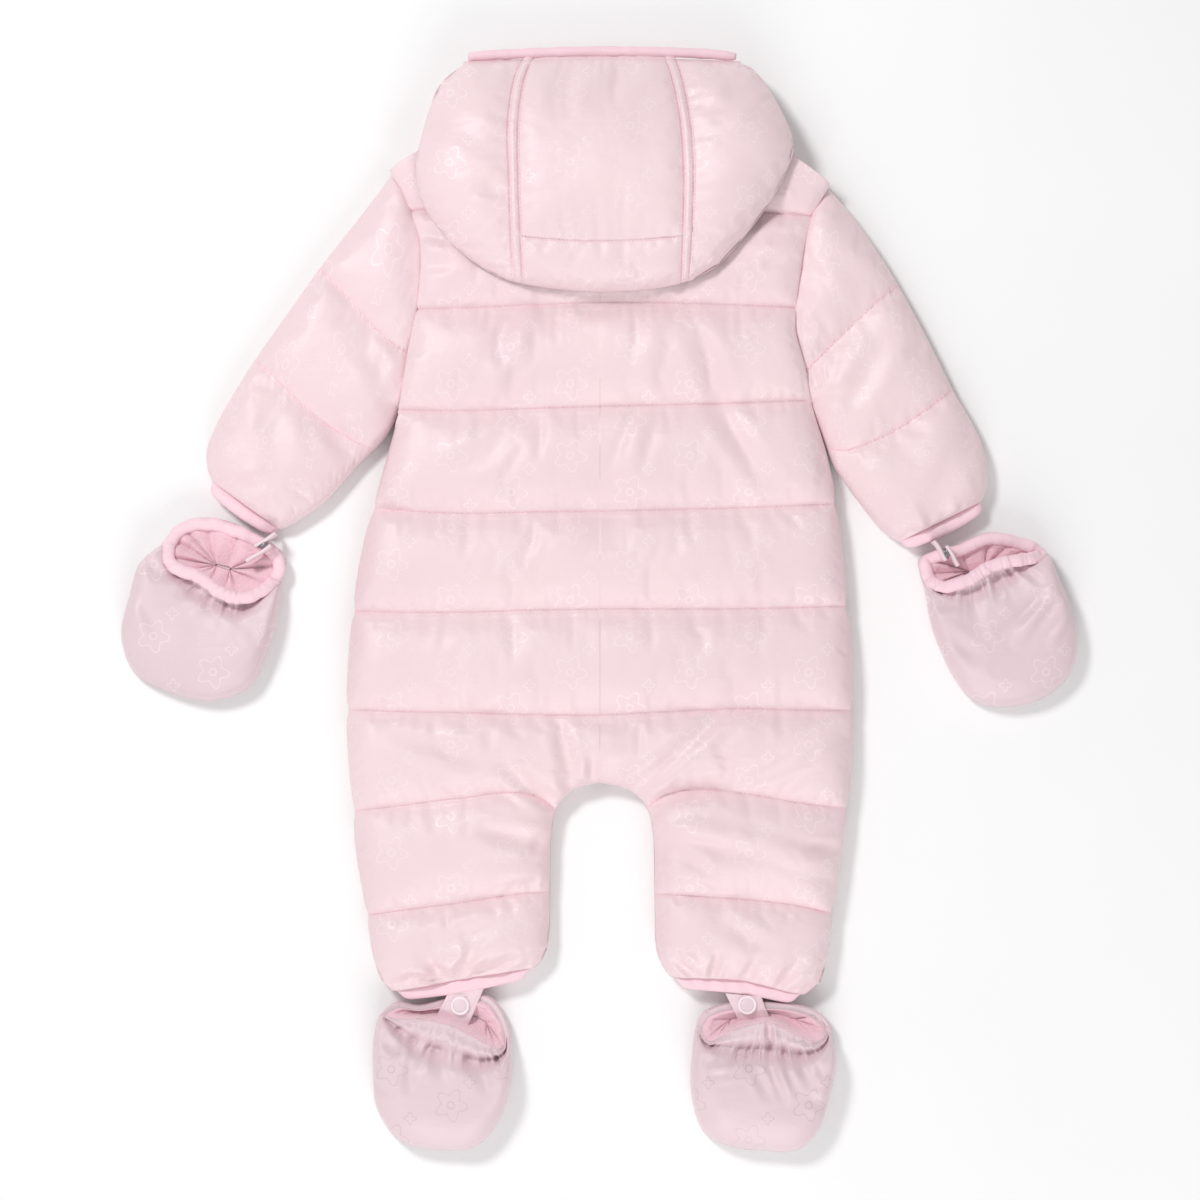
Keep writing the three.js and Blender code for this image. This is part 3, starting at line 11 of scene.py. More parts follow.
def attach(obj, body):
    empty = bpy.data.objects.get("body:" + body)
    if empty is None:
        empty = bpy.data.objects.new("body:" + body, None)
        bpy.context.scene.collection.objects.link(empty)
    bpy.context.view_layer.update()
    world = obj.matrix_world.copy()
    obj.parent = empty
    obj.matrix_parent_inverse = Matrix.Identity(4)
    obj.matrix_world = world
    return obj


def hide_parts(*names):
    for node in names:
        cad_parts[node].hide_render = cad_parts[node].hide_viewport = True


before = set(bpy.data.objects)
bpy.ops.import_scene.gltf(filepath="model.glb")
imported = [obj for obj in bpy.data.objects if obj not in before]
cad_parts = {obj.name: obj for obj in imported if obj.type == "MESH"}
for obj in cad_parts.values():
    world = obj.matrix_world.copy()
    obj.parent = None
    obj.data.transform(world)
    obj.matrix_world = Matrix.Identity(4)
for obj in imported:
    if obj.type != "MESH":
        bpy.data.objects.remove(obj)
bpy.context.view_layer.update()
MM = 0.001
SUIT = "suit"

# Side edges: height, left, right
BODY_SIDES = [(-262, -120, 121), (-253, -130.5, 131.5), (-246, -138.5, 140.5), (-233, -144.2,
    144.6), (-214, -148, 147.9), (-190, -151.8, 150.8), (-162, -156.4, 154.9), (-134, -158.4, 159),
    (-102, -161.4, 161.2), (-70, -162.5, 162.3), (-38, -161.4, 161.6), (-4, -158.2, 159), (26,
    -153.8, 156.2), (60, -145.5, 152), (87, -137.9, 147), (110, -131.6, 140.6), (125, -128.6, 136),
    (150, -124.6, 131), (172, -120.7, 125.2), (193, -116.9, 126.3), (212, -114.9, 128.6), (231,
    -115.6, 131.8), (248, -121.2, 137.3), (262, -127, 145), (274, -134, 151), (310, -150, 165)]
INNER_LEGS = [(-262, -60, 58), (-247, -51, 49.5), (-240, -46, 43.5), (-232, -38, 38.6), (-222,
    -33.8, 36.2), (-205, -32.5, 35.6), (-180, -32.3, 35.2), (-153, -31.6, 34.6), (-139, -29.6,
    32.4), (-129, -25, 27.3), (-122, -17.5, 18.8), (-118.7, -8.5, 8.8), (-117.7, 0, 0)]
LINE_PLACES = [-165, -128, -90, -45, 0, 45, 90, 128, 165]
# Quilting lines from the hem to the shoulder: the height at each place
BODY_LINES = [[-256, -250, -243.2, -236.4, -236, -241.6, -243.6, -252.6, -256], [-204, -198.6,
    -193.8, -187.6, -188, -188.8, -191.4, -195.8, -205], [-136, -131.4, -126.8, -124.4, -150, -124,
    -123.6, -129.8, -134.4], [-70.4, -71.4, -72.2, -73.4, -73.6, -71.4, -69.6, -70.4, -71], [-7.2,
    -7.8, -7.9, -6.6, -5.8, -5.8, -5.7, -4.8, -4], [60.6, 57.4, 55.4, 56.2, 56.8, 57.8, 59, 60.4,
    62], [122, 121.5, 121, 122.4, 123.9, 124.9, 126, 127.6, 129], [185.6, 185.8, 186.8, 188.8,
    190.2, 190, 188.6, 187, 186], [246, 248.6, 250.4, 251, 251, 250.6, 248.8, 246.4, 245], [248.6,
    279, 299, 307, 303, 308, 301, 280.4, 251.5]]
FRONT_NECK = [248.6, 279, 294, 282, 263, 282, 295, 280.4, 251.5]
SLEEVES = {"left": {"outer": [[-135.4, 274], [-157, 244.6], [-180.6, 213.8], [-200.6, 185], [-222,
    154.2], [-238.4, 128], [-247.4, 111.2], [-252.8, 97], [-252.6, 85], [-249.4, 76.4]], "inner":
    [[-130, 121.4], [-139.4, 104], [-155.4, 87.6], [-166, 75], [-177, 63.2], [-185, 57], [-192.6,
    52], [-198, 48.6], [-202, 46.6], [-206.4, 45.6]], "lines": [[[-181, 214], [-160.3, 192],
    [-135.7, 166], [-119, 157]], [[-224, 156], [-211, 145], [-187.8, 122], [-159, 102.4], [-142,
    95.6]]]}, "right": {"outer": [[147.8, 265.6], [165.4, 244], [186.8, 211.8], [208.4, 172.4],
    [226.2, 136.4], [240.6, 111.2], [247.8, 93.2], [249, 79], [248, 70], [245.6, 63.6]], "inner":
    [[137, 124.6], [142.4, 108.6], [149.8, 88], [155, 79], [162, 68.4], [167.8, 60.8], [175, 51.4],
    [181.4, 45.2], [187, 40.6], [192.6, 37.4]], "lines": [[[194, 205], [166.1, 180.5], [134.7,
    149.6], [120, 135]], [[230, 138], [209, 122], [187, 107.5], [160, 96.2], [144, 98]]]}}
HOOD_LEFT_EDGE = [[-86.8, 343.2], [-101.1, 330.4], [-107.8, 316], [-114.4, 291.6], [-117.1, 275.3],
    [-114.4, 256.9], [-105.2, 240], [-92, 224.6], [-74.6, 211.2], [-58.6, 203.4]]
HOOD_RIGHT_EDGE = [[89.7, 343.2], [98.9, 338], [109.1, 324.3], [119.3, 303.9], [122.9, 289.5],
    [120.3, 277.3], [109.1, 254.8], [92.7, 232.4], [75.4, 213.6], [58.6, 203.6]]
# Hood seams: height, left outer, left inner, right inner, right outer
HOOD_SEAMS = [(348, -48.6, -42.6, 41.4, 47.6), (330, -54.6, -48.4, 46.4, 52.4), (300, -58.2, -51.8,
    51.2, 57.4), (270, -57.4, -51.6, 53, 59), (238, -56.6, -50.6, 52.6, 58.2), (198, -55, -49, 51.6,
    56.4)]
HOOD_TOP = [[-120, 341], [-87, 343.8], [-58, 345.8], [0, 347.6], [64, 346.2], [90, 343.8], [120,
    341]]
HOOD_CROSS = [[-60, 230.8], [-30, 228], [-4, 227], [26, 227.8], [60, 230.8]]
HOOD_BOTTOM = [[-75, 210.4], [-56.4, 202.8], [-27.6, 197.8], [1, 195.8], [33.5, 197.8], [56, 202.8],
    [75, 212]]
HOOD_PROFILE = [(190, 33, 15), (240, 33.4, 18), (285, 32, 19), (315, 26, 18), (352, 18, 12)]
# Pouches: foot of the wall and mouth, point by point
POUCHES = {
    "mitten_left": [(-281, 37, -277.5, 33), (-296, 23.7, -276, 24), (-303, 2, -268.5, 18), (-308.2,
        -22.4, -260.5, 15.6), (-300.6, -46, -254, 12), (-275.3, -60, -247.5, 7), (-249, -64.6,
        -240.5, 2.6), (-226.4, -56.2, -232.5, 0.4), (-214.2, -34.6, -223.5, 1.4), (-207, -8, -214.5,
        6), (-204.6, 12, -207.5, 14), (-201.6, 25, -205, 24), (-208.5, 34.6, -211, 32.4), (-227.4,
        46, -228, 42.8), (-246, 52.4, -246, 49), (-262, 52.6, -261.5, 49), (-274, 46.6, -272, 44)],
    "mitten_right": [(205.5, 18, 209, 17), (209.5, 3, 212.5, 10.4), (212.4, -14, 217.5, 8), (219,
        -33, 223.2, 8.2), (228, -51, 229, 9.7), (238.7, -63.7, 235, 11.7), (259.3, -68.9, 241, 15),
        (283.7, -63.7, 247, 19), (302.4, -47.7, 254, 22.4), (307.3, -28, 262, 24.4), (303, -5, 270,
        25.6), (295, 14, 277, 26.8), (288.5, 29, 283.6, 29.6), (280, 36.6, 276.5, 34.4), (266, 41.4,
        265, 38), (251, 43.8, 251, 40.2), (240, 40.6, 240.5, 37), (228, 35, 228, 31.4), (213, 31,
        214, 27.6), (204.8, 26, 208.6, 24)],
    "bootie_left": [(-141.6, -267, -137.6, -266.6), (-145.6, -281, -131, -268.6), (-146.2, -303,
        -122.6, -269.4), (-143.2, -329, -114, -269.8), (-127.7, -348.7, -104, -271), (-100.4,
        -353.9, -94, -274.5), (-80.6, -352, -84, -279.5), (-66, -336.5, -75, -284.4), (-57.5, -314,
        -67, -288), (-56.6, -295, -61.6, -287.4), (-57.5, -280, -61, -279), (-62.6, -265, -66,
        -266), (-71, -255, -73.4, -258), (-85, -253, -86, -256.4), (-101, -256.6, -101, -259.8),
        (-116, -260.2, -116, -262.6), (-131, -258.6, -130, -261.4)],
    "bootie_right": [(60.8, -279, 65, -278.4), (59.6, -290, 70, -283.6), (58.2, -306, 77, -280.8),
        (60, -326, 85, -276.8), (67, -343, 94, -273.6), (85, -352, 102, -271.8), (103, -354.2, 108,
        -271.4), (127, -354, 115, -274), (140, -342, 123, -278.6), (147.5, -321, 132, -282.6),
        (151.6, -299, 140, -283.4), (149.6, -283, 145.6, -279.6), (147, -271, 143, -272.4), (138,
        -263.6, 136, -266.6), (124, -259.6, 123, -262.8), (104, -258, 104, -261.4), (82, -259, 82.5,
        -262.4), (66, -265.6, 68.6, -268)]}
MOUTH_AXES = {"mitten_left": [[-260, 33], [-240, 27], [-218, 20]], "mitten_right": [[218, 18], [240,
    26], [268, 32]], "bootie_left": [[-130, -265], [-104, -265.4], [-80, -269], [-68, -278]],
    "bootie_right": [[74, -275], [88, -269.6], [106, -266.4], [120, -269.4], [138, -275.4]]}
BOOTIE_STRAPS = {"left": {"corners": [[-98, -253.1], [-74.6, -249.3], [-83.4, -270.4], [-103.6,
    -264]], "heights": [14.2, 16.5], "snap": [-89.6, -260]}, "right": {"corners": [[80.4, -252.2],
    [103.4, -254.3], [107.4, -264.6], [87.4, -266.8]], "heights": [14.2, 16.5], "snap": [94.4,
    -259.6]}}
MITTEN_STRAPS = {"left": {"suitEnd": [-207.9, 43.5], "middle": [-216.3, 37.7], "farEnd": [-229,
    29.2]}, "right": {"suitEnd": [212.6, 37.3], "middle": [218.4, 28.4], "farEnd": [224.4, 19]}}

# Creases in millimetres: both ends, depth (a ridge is negative), half width
BODY_FOLDS = [
    (-43.8, 179.8, -72.6, 129.9, -1.6, 8), (-64.3, 163.2, -57.9, 145.9, 2.2, 9),
    (35.5, 177.9, 27.2, 136.3, -1.2, 7), (60.5, 173.4, 77.1, 128.0, 2.2, 8),
    (-43.8, 113.3, -97.6, 80.0, 1.8, 9), (27.2, 115.2, 16.3, 80.0, -1.4, 6),
    (75.2, 121.6, 105.9, 75.5, 2.2, 8), (139.2, 94.7, 147.5, 80.0, 1.4, 5),
    (-143.7, 61.4, -123.2, 53.1, 1.4, 5), (-134.7, -84.5, -60.5, -106.2, 2.4, 7),
    (-60.5, -106.2, -28.5, -131.2, 2.8, 6), (-26.6, -76.2, -18.2, -121.0, 2.2, 6),
    (-3.5, -99.8, -5.4, -116.5, 1.6, 4), (75.2, -76.2, 20.2, -122.9, 2.4, 6),
    (151.4, -84.5, 77.1, -118.4, 2.4, 7), (77.1, -118.4, 30.4, -131.2, 2.8, 6),
    (-82.2, -147.2, -35.5, -154.9, 2.6, 6), (-45.8, -161.9, -35.5, -153.6, 1.6, 4),
    (-77.8, -176.0, -35.5, -171.5, -1.6, 6), (35.5, -143.4, 91.2, -151.0, -1.8, 6),
    (91.2, -151.0, 147.5, -171.5, -1.8, 6), (36.0, -152.0, 96.0, -162.0, 1.8, 6),
    (133.4, -159.4, 154.6, -157.4, 1.6, 4), (35.5, -160.0, 63.0, -165.8, 1.8, 5),
    (-94.2, -243.0, -80.5, -223.5, 2.8, 4), (-90.0, -242.5, -56.0, -228.5, 2.4, 4),
    (-95.0, -243.0, -112.0, -230.5, 2.2, 4), (-98.0, -244.0, -122.0, -240.5, 2.0, 3),
    (-136.0, -244.5, -110.4, -242.6, 1.2, 4), (-110.4, -220.2, -56.0, -205.4, 2.4, 7),
    (75.8, -206.1, 105.9, -221.4, 2.4, 7), (47.0, -226.5, 62.6, -242.3, 2.4, 4),
    (76.0, -226.4, 70.4, -243.1, 2.4, 3), (127.7, -232.2, 112.3, -247.0, 2.4, 4),
    (98.0, -230.0, 92.0, -246.0, 2.0, 4),
    (-115.0, 236.0, -96.0, 228.0, 1.6, 5), (-112.0, 214.0, -92.0, 214.0, 1.4, 5),
    (120.0, 218.0, 101.0, 212.0, 1.6, 5), (122.0, 236.0, 104.0, 228.0, 1.4, 5)]
SLEEVE_FOLDS = {
    "left": [(-126.4, 147.2, -130.2, 136.3, 1.8, 5), (-152.0, 165.1, -136.0, 132.5, 2.4, 8),
        (-209.6, 132.5, -205.8, 82.6, 2.2, 9), (-232.6, 71.7, -210.9, 73.6, 2.0, 6),
        (-143.0, 232.0, -162.0, 196.0, 1.4, 9), (-176.0, 116.0, -160.0, 92.0, 1.6, 7)],
    "right": [(183.4, 170.2, 157.8, 118.4, 2.4, 8), (134.7, 126.7, 163.5, 129.9, 1.8, 6),
        (136.6, 145.3, 139.8, 136.3, 1.6, 4), (158.0, 84.0, 192.0, 46.0, 1.8, 6),
        (232.0, 100.0, 212.0, 60.0, 1.6, 8), (152.0, 226.0, 172.0, 196.0, 1.4, 8)]}
HOOD_FOLDS = [(-72.6, 265.0, -62.4, 256.6, 2.0, 6), (62.4, 334.7, 84.8, 307.8, -1.8, 8),
    (17.0, 336.6, 2.9, 318.1, 1.8, 9), (-96.0, 300.0, -70.0, 288.0, 1.6, 8),
    (100.0, 268.0, 74.0, 250.0, 1.8, 8), (-20.0, 332.0, -30.0, 300.0, 1.4, 8),
    (-98.0, 262.0, -78.0, 240.0, 1.6, 7), (88.0, 322.0, 70.0, 296.0, 1.4, 7)]
POUCH_FOLDS = {
    "mitten_left": [(-283.4, 16.2, -262.5, 15.9, 2.0, 4), (-262.5, 14.7, -252.1, 11.7, 2.6, 4),
        (-267.0, 4.0, -249.1, 6.5, 1.8, 4), (-247.6, 5.8, -234.1, -9.2, 2.2, 4),
        (-234.1, -9.2, -217.7, -1.7, 1.8, 4), (-301.3, 1.3, -289.4, -24.1, -2.0, 5),
        (-231.1, -49.5, -213.2, -34.6, 1.4, 6), (-290.9, 30.4, -281.9, 14.7, 2.0, 4),
        (-256.5, -1.7, -243.1, -19.6, -1.2, 8), (-223.7, -10.7, -216.2, -28.6, 1.2, 6)],
    "mitten_right": [(288.7, 4.9, 266.3, -26.5, -2.2, 4), (281.3, 1.9, 255.9, -19.0, 2.0, 4),
        (299.2, -13.0, 287.3, -26.5, -1.6, 3), (218.6, -20.5, 241.0, -36.9, 1.8, 5),
        (214.1, -4.8, 229.0, -1.1, 2.4, 4), (252.2, 13.9, 254.4, 1.9, 2.6, 3),
        (241.0, 10.9, 243.9, 4.9, 2.2, 3), (261.1, 21.3, 264.1, 12.4, 2.2, 3),
        (270.8, 19.8, 279.8, 12.1, 1.8, 3), (236.5, -44.4, 243.9, -56.3, 1.2, 5),
        (293.2, 13.9, 302.2, 1.9, 1.4, 5)],
    "bootie_left": [(-120.0, -270.2, -119.3, -288.9, 2.8, 3), (-118.7, -290.1, -122.5, -310.0, 2.0, 4),
        (-105.0, -290.1, -100.7, -306.3, 1.6, 5), (-87.6, -291.4, -77.7, -300.1, 2.0, 4),
        (-77.7, -300.1, -68.9, -310.0, 1.8, 6), (-139.9, -280.2, -128.1, -287.6, 2.4, 4),
        (-143.6, -310.0, -133.7, -312.8, 1.2, 4), (-67.7, -297.6, -64.0, -313.8, -1.8, 5),
        (-113.7, -290.1, -115.0, -301.3, 1.8, 3), (-132.4, -295.1, -129.9, -317.5, -1.2, 7),
        (-96.3, -292.6, -92.6, -310.0, 1.2, 6)],
    "bootie_right": [(108.1, -271.0, 108.9, -293.0, 5.0, 2.4), (108.9, -291.4, 120.6, -316.3, -2.2, 4),
        (106.6, -292.6, 116.8, -316.3, 2.4, 3), (99.4, -300.1, 106.9, -315.0, 2.0, 4),
        (126.8, -293.9, 133.3, -306.6, 2.4, 4), (115.6, -290.1, 120.6, -294.1, 2.4, 3),
        (68.3, -295.1, 85.7, -293.6, 2.8, 4), (72.0, -303.8, 86.3, -300.1, 2.0, 3),
        (136.7, -300.1, 143.6, -300.7, 1.6, 4), (133.0, -317.5, 143.6, -322.7, 1.2, 4),
        (65.8, -317.5, 70.8, -337.4, 1.2, 6)]}

FRONT_THICKNESS = 11.0
BACK_BOTTOM = 11.3
EDGE = 2.6
SLEEVE_MIDDLE = 8.0
BINDING_WIDTH = 6.6


# Numbers along curves

def along(xs, ys, key):
    """Smooth value through a table, by one column against another."""
    xs, ys, key = (np.asarray(v, float) for v in (xs, ys, key))
    last = len(xs) - 2
    i = np.clip(np.searchsorted(xs, key, side="left") - 1, 0, last)
    a, b, c, d = (np.clip(i + k, 0, last + 1) for k in (-1, 0, 1, 2))
    span = xs[c] - xs[b]
    m0 = (ys[c] - ys[a]) / np.maximum(xs[c] - xs[a], 1e-6) * span
    m1 = (ys[d] - ys[b]) / np.maximum(xs[d] - xs[b], 1e-6) * span
    t = np.clip((key - xs[b]) / span, 0, 1)
    t2, t3 = t * t, t * t * t
    return ((2 * t3 - 3 * t2 + 1) * ys[b] + (t3 - 2 * t2 + t) * m0
            + (3 * t2 - 2 * t3) * ys[c] + (t3 - t2) * m1)


def point_on(points, fraction):
    """Points at fractions of a curve drawn through points, as rows of x and y."""
    points = np.asarray(points, float)
    index = np.arange(len(points))
    key = np.asarray(fraction, float) * (len(points) - 1)
    return np.stack([along(index, points[:, 0], key), along(index, points[:, 1], key)], -1)


def closed_curve(points, count):
    """Closed smooth curve through points, by its own steps (centripetal)."""
    points = np.asarray(points, float)
    n = len(points)
    t = np.arange(count) * n / count
    i = np.floor(t).astype(int)
    w = t - i
    p = [points[(i + k) % n] for k in (-1, 0, 1, 2)]
    gap = [np.maximum(np.linalg.norm(p[k + 1] - p[k], axis=1) ** 0.5, 1e-4) for k in range(3)]
    m1 = (p[1] - p[0]) / gap[0][:, None] - (p[2] - p[0]) / (gap[0] + gap[1])[:, None]
    m1 = (m1 + (p[2] - p[1]) / gap[1][:, None]) * gap[1][:, None]
    m2 = (p[2] - p[1]) / gap[1][:, None] - (p[3] - p[1]) / (gap[1] + gap[2])[:, None]
    m2 = (m2 + (p[3] - p[2]) / gap[2][:, None]) * gap[1][:, None]
    w = w[:, None]
    return (p[1] + m1 * w + (-3 * p[1] + 3 * p[2] - 2 * m1 - m2) * w ** 2
            + (2 * p[1] - 2 * p[2] + m1 + m2) * w ** 3)


def quarter_round(distance, reach):
    t = 1 - np.clip(np.asarray(distance, float) / reach, 0, 1)
    return np.sqrt(np.maximum(1 - t * t, 0))


def smooth(value, low, high):
    t = np.clip((value - low) / (high - low), 0, 1)
    return t * t * (3 - 2 * t)


def lerp(a, b, t):
    return a + (b - a) * t


def line_distance(x, y, line):
    """Distance to a polyline and the length along it, for arrays of points."""
    line = np.asarray(line, float)
    best = np.full(np.shape(x), 1e9)
    place = np.zeros(np.shape(x))
    start = 0.0
    for p, q in zip(line[:-1], line[1:]):
        d = q - p
        size = float(np.hypot(*d))
        t = np.clip(((x - p[0]) * d[0] + (y - p[1]) * d[1]) / (size * size), 0, 1)
        distance = np.hypot(x - p[0] - d[0] * t, y - p[1] - d[1] * t)
        nearer = distance < best
        best = np.where(nearer, distance, best)
        place = np.where(nearer, start + t * size, place)
        start += size
    return best, place


def nearest(x, y, lines):
    return np.min([line_distance(x, y, line)[0] for line in lines], axis=0)


def noise1(s, wave, seed):
    """Smooth random wave along a length, between -1 and 1."""
    values = np.random.default_rng(seed).uniform(-1, 1, 4096)
    k = np.asarray(s, float) / wave + 40
    i = np.floor(k).astype(int)
    t = k - i
    t = t * t * (3 - 2 * t)
    return values[i % 4096] * (1 - t) + values[(i + 1) % 4096] * t


def noise2(x, y, wave_x, wave_y, seed):
    """Smooth random waves over a plane, between -1 and 1."""
    values = np.random.default_rng(seed).uniform(-1, 1, (256, 256))
    kx, ky = np.asarray(x, float) / wave_x + 60, np.asarray(y, float) / wave_y + 60
    i, j = np.floor(kx).astype(int), np.floor(ky).astype(int)
    u, v = kx - i, ky - j
    u, v = u * u * (3 - 2 * u), v * v * (3 - 2 * v)
    at = lambda a, b: values[a % 256, b % 256]
    low = at(i, j) * (1 - u) + at(i + 1, j) * u
    high = at(i, j + 1) * (1 - u) + at(i + 1, j + 1) * u
    return low * (1 - v) + high * v


def folds(table, x, y):
    """Soft creases and ridges, deepest in their middle."""
    height = np.zeros(np.shape(x))
    for x0, y0, x1, y1, depth, width in table:
        distance, place = line_distance(x, y, [(x0, y0), (x1, y1)])
        size = math.hypot(x1 - x0, y1 - y0)
        fade = np.sin(np.pi * (0.12 + 0.76 * np.clip(place / size, 0, 1)))
        across = distance / width
        height -= depth * fade * (np.exp(-across ** 2) - 0.35 * np.exp(-(across - 1.5) ** 2 * 2.2))
    return height


def puckers(x, y, lines, seed, height=0.8, reach=13.0, wave=6.5):
    """Small gathers that run out from each sewn line, unevenly strong and long."""
    total = np.zeros(np.shape(x))
    for k, line in enumerate(lines):
        distance, place = line_distance(x, y, line)
        own = seed + 17 * k
        strength = 0.35 + 0.65 * np.abs(noise1(place, 31, own + 1))
        length = reach * (0.55 + 0.6 * np.abs(noise1(place, 19, own + 2)))
        lean = 0.35 * noise1(place, 43, own + 3)
        gathers = noise1(place + lean * distance, wave, own) + 0.5 * noise1(place, wave * 0.55, own + 5)
        rise = 1 - np.exp(-distance / 1.6)
        total += height * strength * gathers * rise * np.exp(-distance / length)
    return total


def seam_mask(x, y, lines, width=1.3):
    return np.exp(-(nearest(x, y, lines) / width) ** 2)


# The body's outline and quilting

SIDES = np.array(BODY_SIDES, float)
LEGS = np.array(INNER_LEGS, float)
CROTCH_TOP = -117.7
COLUMN = {"left": 1, "right": 2}
side_edge = lambda side, y: along(SIDES[:, 0], SIDES[:, COLUMN[side]], y)


def line_height(heights, x):
    return along(LINE_PLACES, heights, x)


BODY_TRACES = [[(x, float(line_height(h, x))) for x in np.linspace(-168, 168, 33)]
               for h in BODY_LINES[1:-1]]
HEM_LINE = BODY_LINES[0]
TRACE = lambda table, column: [(row[column], row[0]) for row in table]
FREE_EDGES = [TRACE([r for r in BODY_SIDES if r[0] <= 123], 1),
              TRACE([r for r in BODY_SIDES if r[0] <= 127], 2),
              TRACE(INNER_LEGS, 1), TRACE(INNER_LEGS, 2)]
ARMHOLES = [TRACE([r for r in BODY_SIDES if 123 <= r[0] <= 280], 1),
            TRACE([r for r in BODY_SIDES if 124 <= r[0] <= 280], 2)]


def half_rows(side, lines, steps, limit):
    """Outer and inner ends of rows from the hem to the top, and each row's line blend."""
    k = np.repeat(np.arange(len(lines) - 1), steps)
    t = np.tile(np.arange(steps) / steps, len(lines) - 1)
    k, t = np.append(k, len(lines) - 2), np.append(t, 1.0)

    def height(x):
        all_lines = np.stack([line_height(h, x) for h in lines])
        rows = np.arange(len(k))
        return lerp(all_lines[k, rows], all_lines[k + 1, rows], t)

    outer = np.full(len(k), side_edge(side, 0))
    for _ in range(12):
        outer = side_edge(side, height(outer))
    low, high = np.zeros(len(k)), np.full(len(k), -60.0 if side == "left" else 60.0)
    for _ in range(34):
        middle = (low + high) / 2
        y = height(middle)
        edge = along(LEGS[:, 0], LEGS[:, COLUMN[side]], np.minimum(y, CROTCH_TOP))
        inside = (y >= CROTCH_TOP) | (np.abs(middle) >= np.abs(edge))
        high, low = np.where(inside, middle, high), np.where(inside, low, middle)
    inner = np.where(height(np.zeros(len(k))) >= CROTCH_TOP - 0.01, 0.0, high)
    inner = np.where(np.abs(inner) < limit, math.copysign(limit, high[0]), inner)
    return outer, inner, height


def body_half(side, lines, steps, columns, limit=0.0):
    """Plan grid over one half of the body, closer together at both edges."""
    outer, inner, height = half_rows(side, lines, steps, limit)
    s = np.linspace(0, 1, columns)
    s = lerp(s, s * s * (3 - 2 * s), 0.62)
    x = outer[:, None] + (inner - outer)[:, None] * s
    y = np.stack([height(x[:, j]) for j in range(columns)], 1)
    return x, y


def scallop(x, y):
    """The side edges draw in a little at each quilting line."""
    near = nearest(x, y, BODY_TRACES)
    pull = 1.5 * np.exp(-(near / 5.5) ** 2)
    outwards = smooth(np.abs(x), 70, 150) * np.sign(x) * (y < 120)
    return x - pull * outwards


def back_top(x, y):
    puff = quarter_round(nearest(x, y, BODY_TRACES), 30)
    side = quarter_round(nearest(x, y, FREE_EDGES), 24)
    armhole = quarter_round(nearest(x, y, ARMHOLES), 16)
    hem = np.clip((y - line_height(HEM_LINE, x)) / 14, 0, 1)
    full = lerp(9, 17, puff) * lerp(0.62, 1, armhole) * lerp(0.55, 1, hem)
    return BACK_BOTTOM + EDGE + np.maximum(full - EDGE, 0) * side


def back_relief(x, y):
    """Creases, gathers and slack that the sewing draws into the back."""
    side = quarter_round(nearest(x, y, FREE_EDGES), 10)
    away = 1 - np.exp(-nearest(x, y, BODY_TRACES) / 7)
    slack = 0.9 * noise2(x + 0.5 * y, y, 34, 60, 3) + 0.7 * noise2(x - 0.6 * y, y, 24, 44, 4)
    gathers = puckers(x, y, BODY_TRACES, 100)
    sewn = puckers(x, y, ARMHOLES, 300, 1.1, 11, 7) * (y > 118)
    line = [(px, float(line_height(HEM_LINE, px))) for px in np.linspace(-160, 160, 33)]
    hem = puckers(x, y, [line], 400, 3.2, 15, 8)
    deep = 1.5 * folds(BODY_FOLDS, x, y)
    return side * (deep + slack * away + gathers + sewn + hem)


def front_bottom(x, y):
    stitched = 1 - quarter_round(nearest(x, y, BODY_TRACES), 7)
    edge = 1 - quarter_round(nearest(x, y, FREE_EDGES), 9)
    return np.maximum(2 * stitched, (FRONT_THICKNESS - EDGE) * edge)


# Meshes

def weld(points, faces, extra):
    """Joins points that lie in one place, and drops faces that close up."""
    keys = np.round(points * 200).astype(np.int64)
    _, first, number = np.unique(keys, axis=0, return_index=True, return_inverse=True)
    number = number.reshape(-1)
    faces = number[faces]
    sound = np.array([len(set(f)) > 2 for f in faces.tolist()])
    return points[first], faces[sound], [e[first] for e in extra], sound


def grid_faces(rows, columns, offset=0):
    i = np.arange((rows - 1) * columns).reshape(rows - 1, columns)[:, :-1].ravel() + offset
    return np.stack([i, i + 1, i + columns + 1, i + columns], 1)


def facing_up(points, faces):
    """Faces of one sheet, turned so that they look up."""
    a, b, c, d = (points[faces[:, k], :2] for k in range(4))
    p, q = c - a, d - b
    return faces if np.sum(p[:, 0] * q[:, 1] - p[:, 1] * q[:, 0]) > 0 else faces[:, ::-1]


def turn_out(mesh, inward):
    """Faces that look out of a form, or into it for a lining."""
    form = bmesh.new()
    form.from_mesh(mesh)
    bmesh.ops.recalc_face_normals(form, faces=form.faces)
    if inward:
        bmesh.ops.reverse_faces(form, faces=form.faces)
    form.to_mesh(mesh)
    form.free()


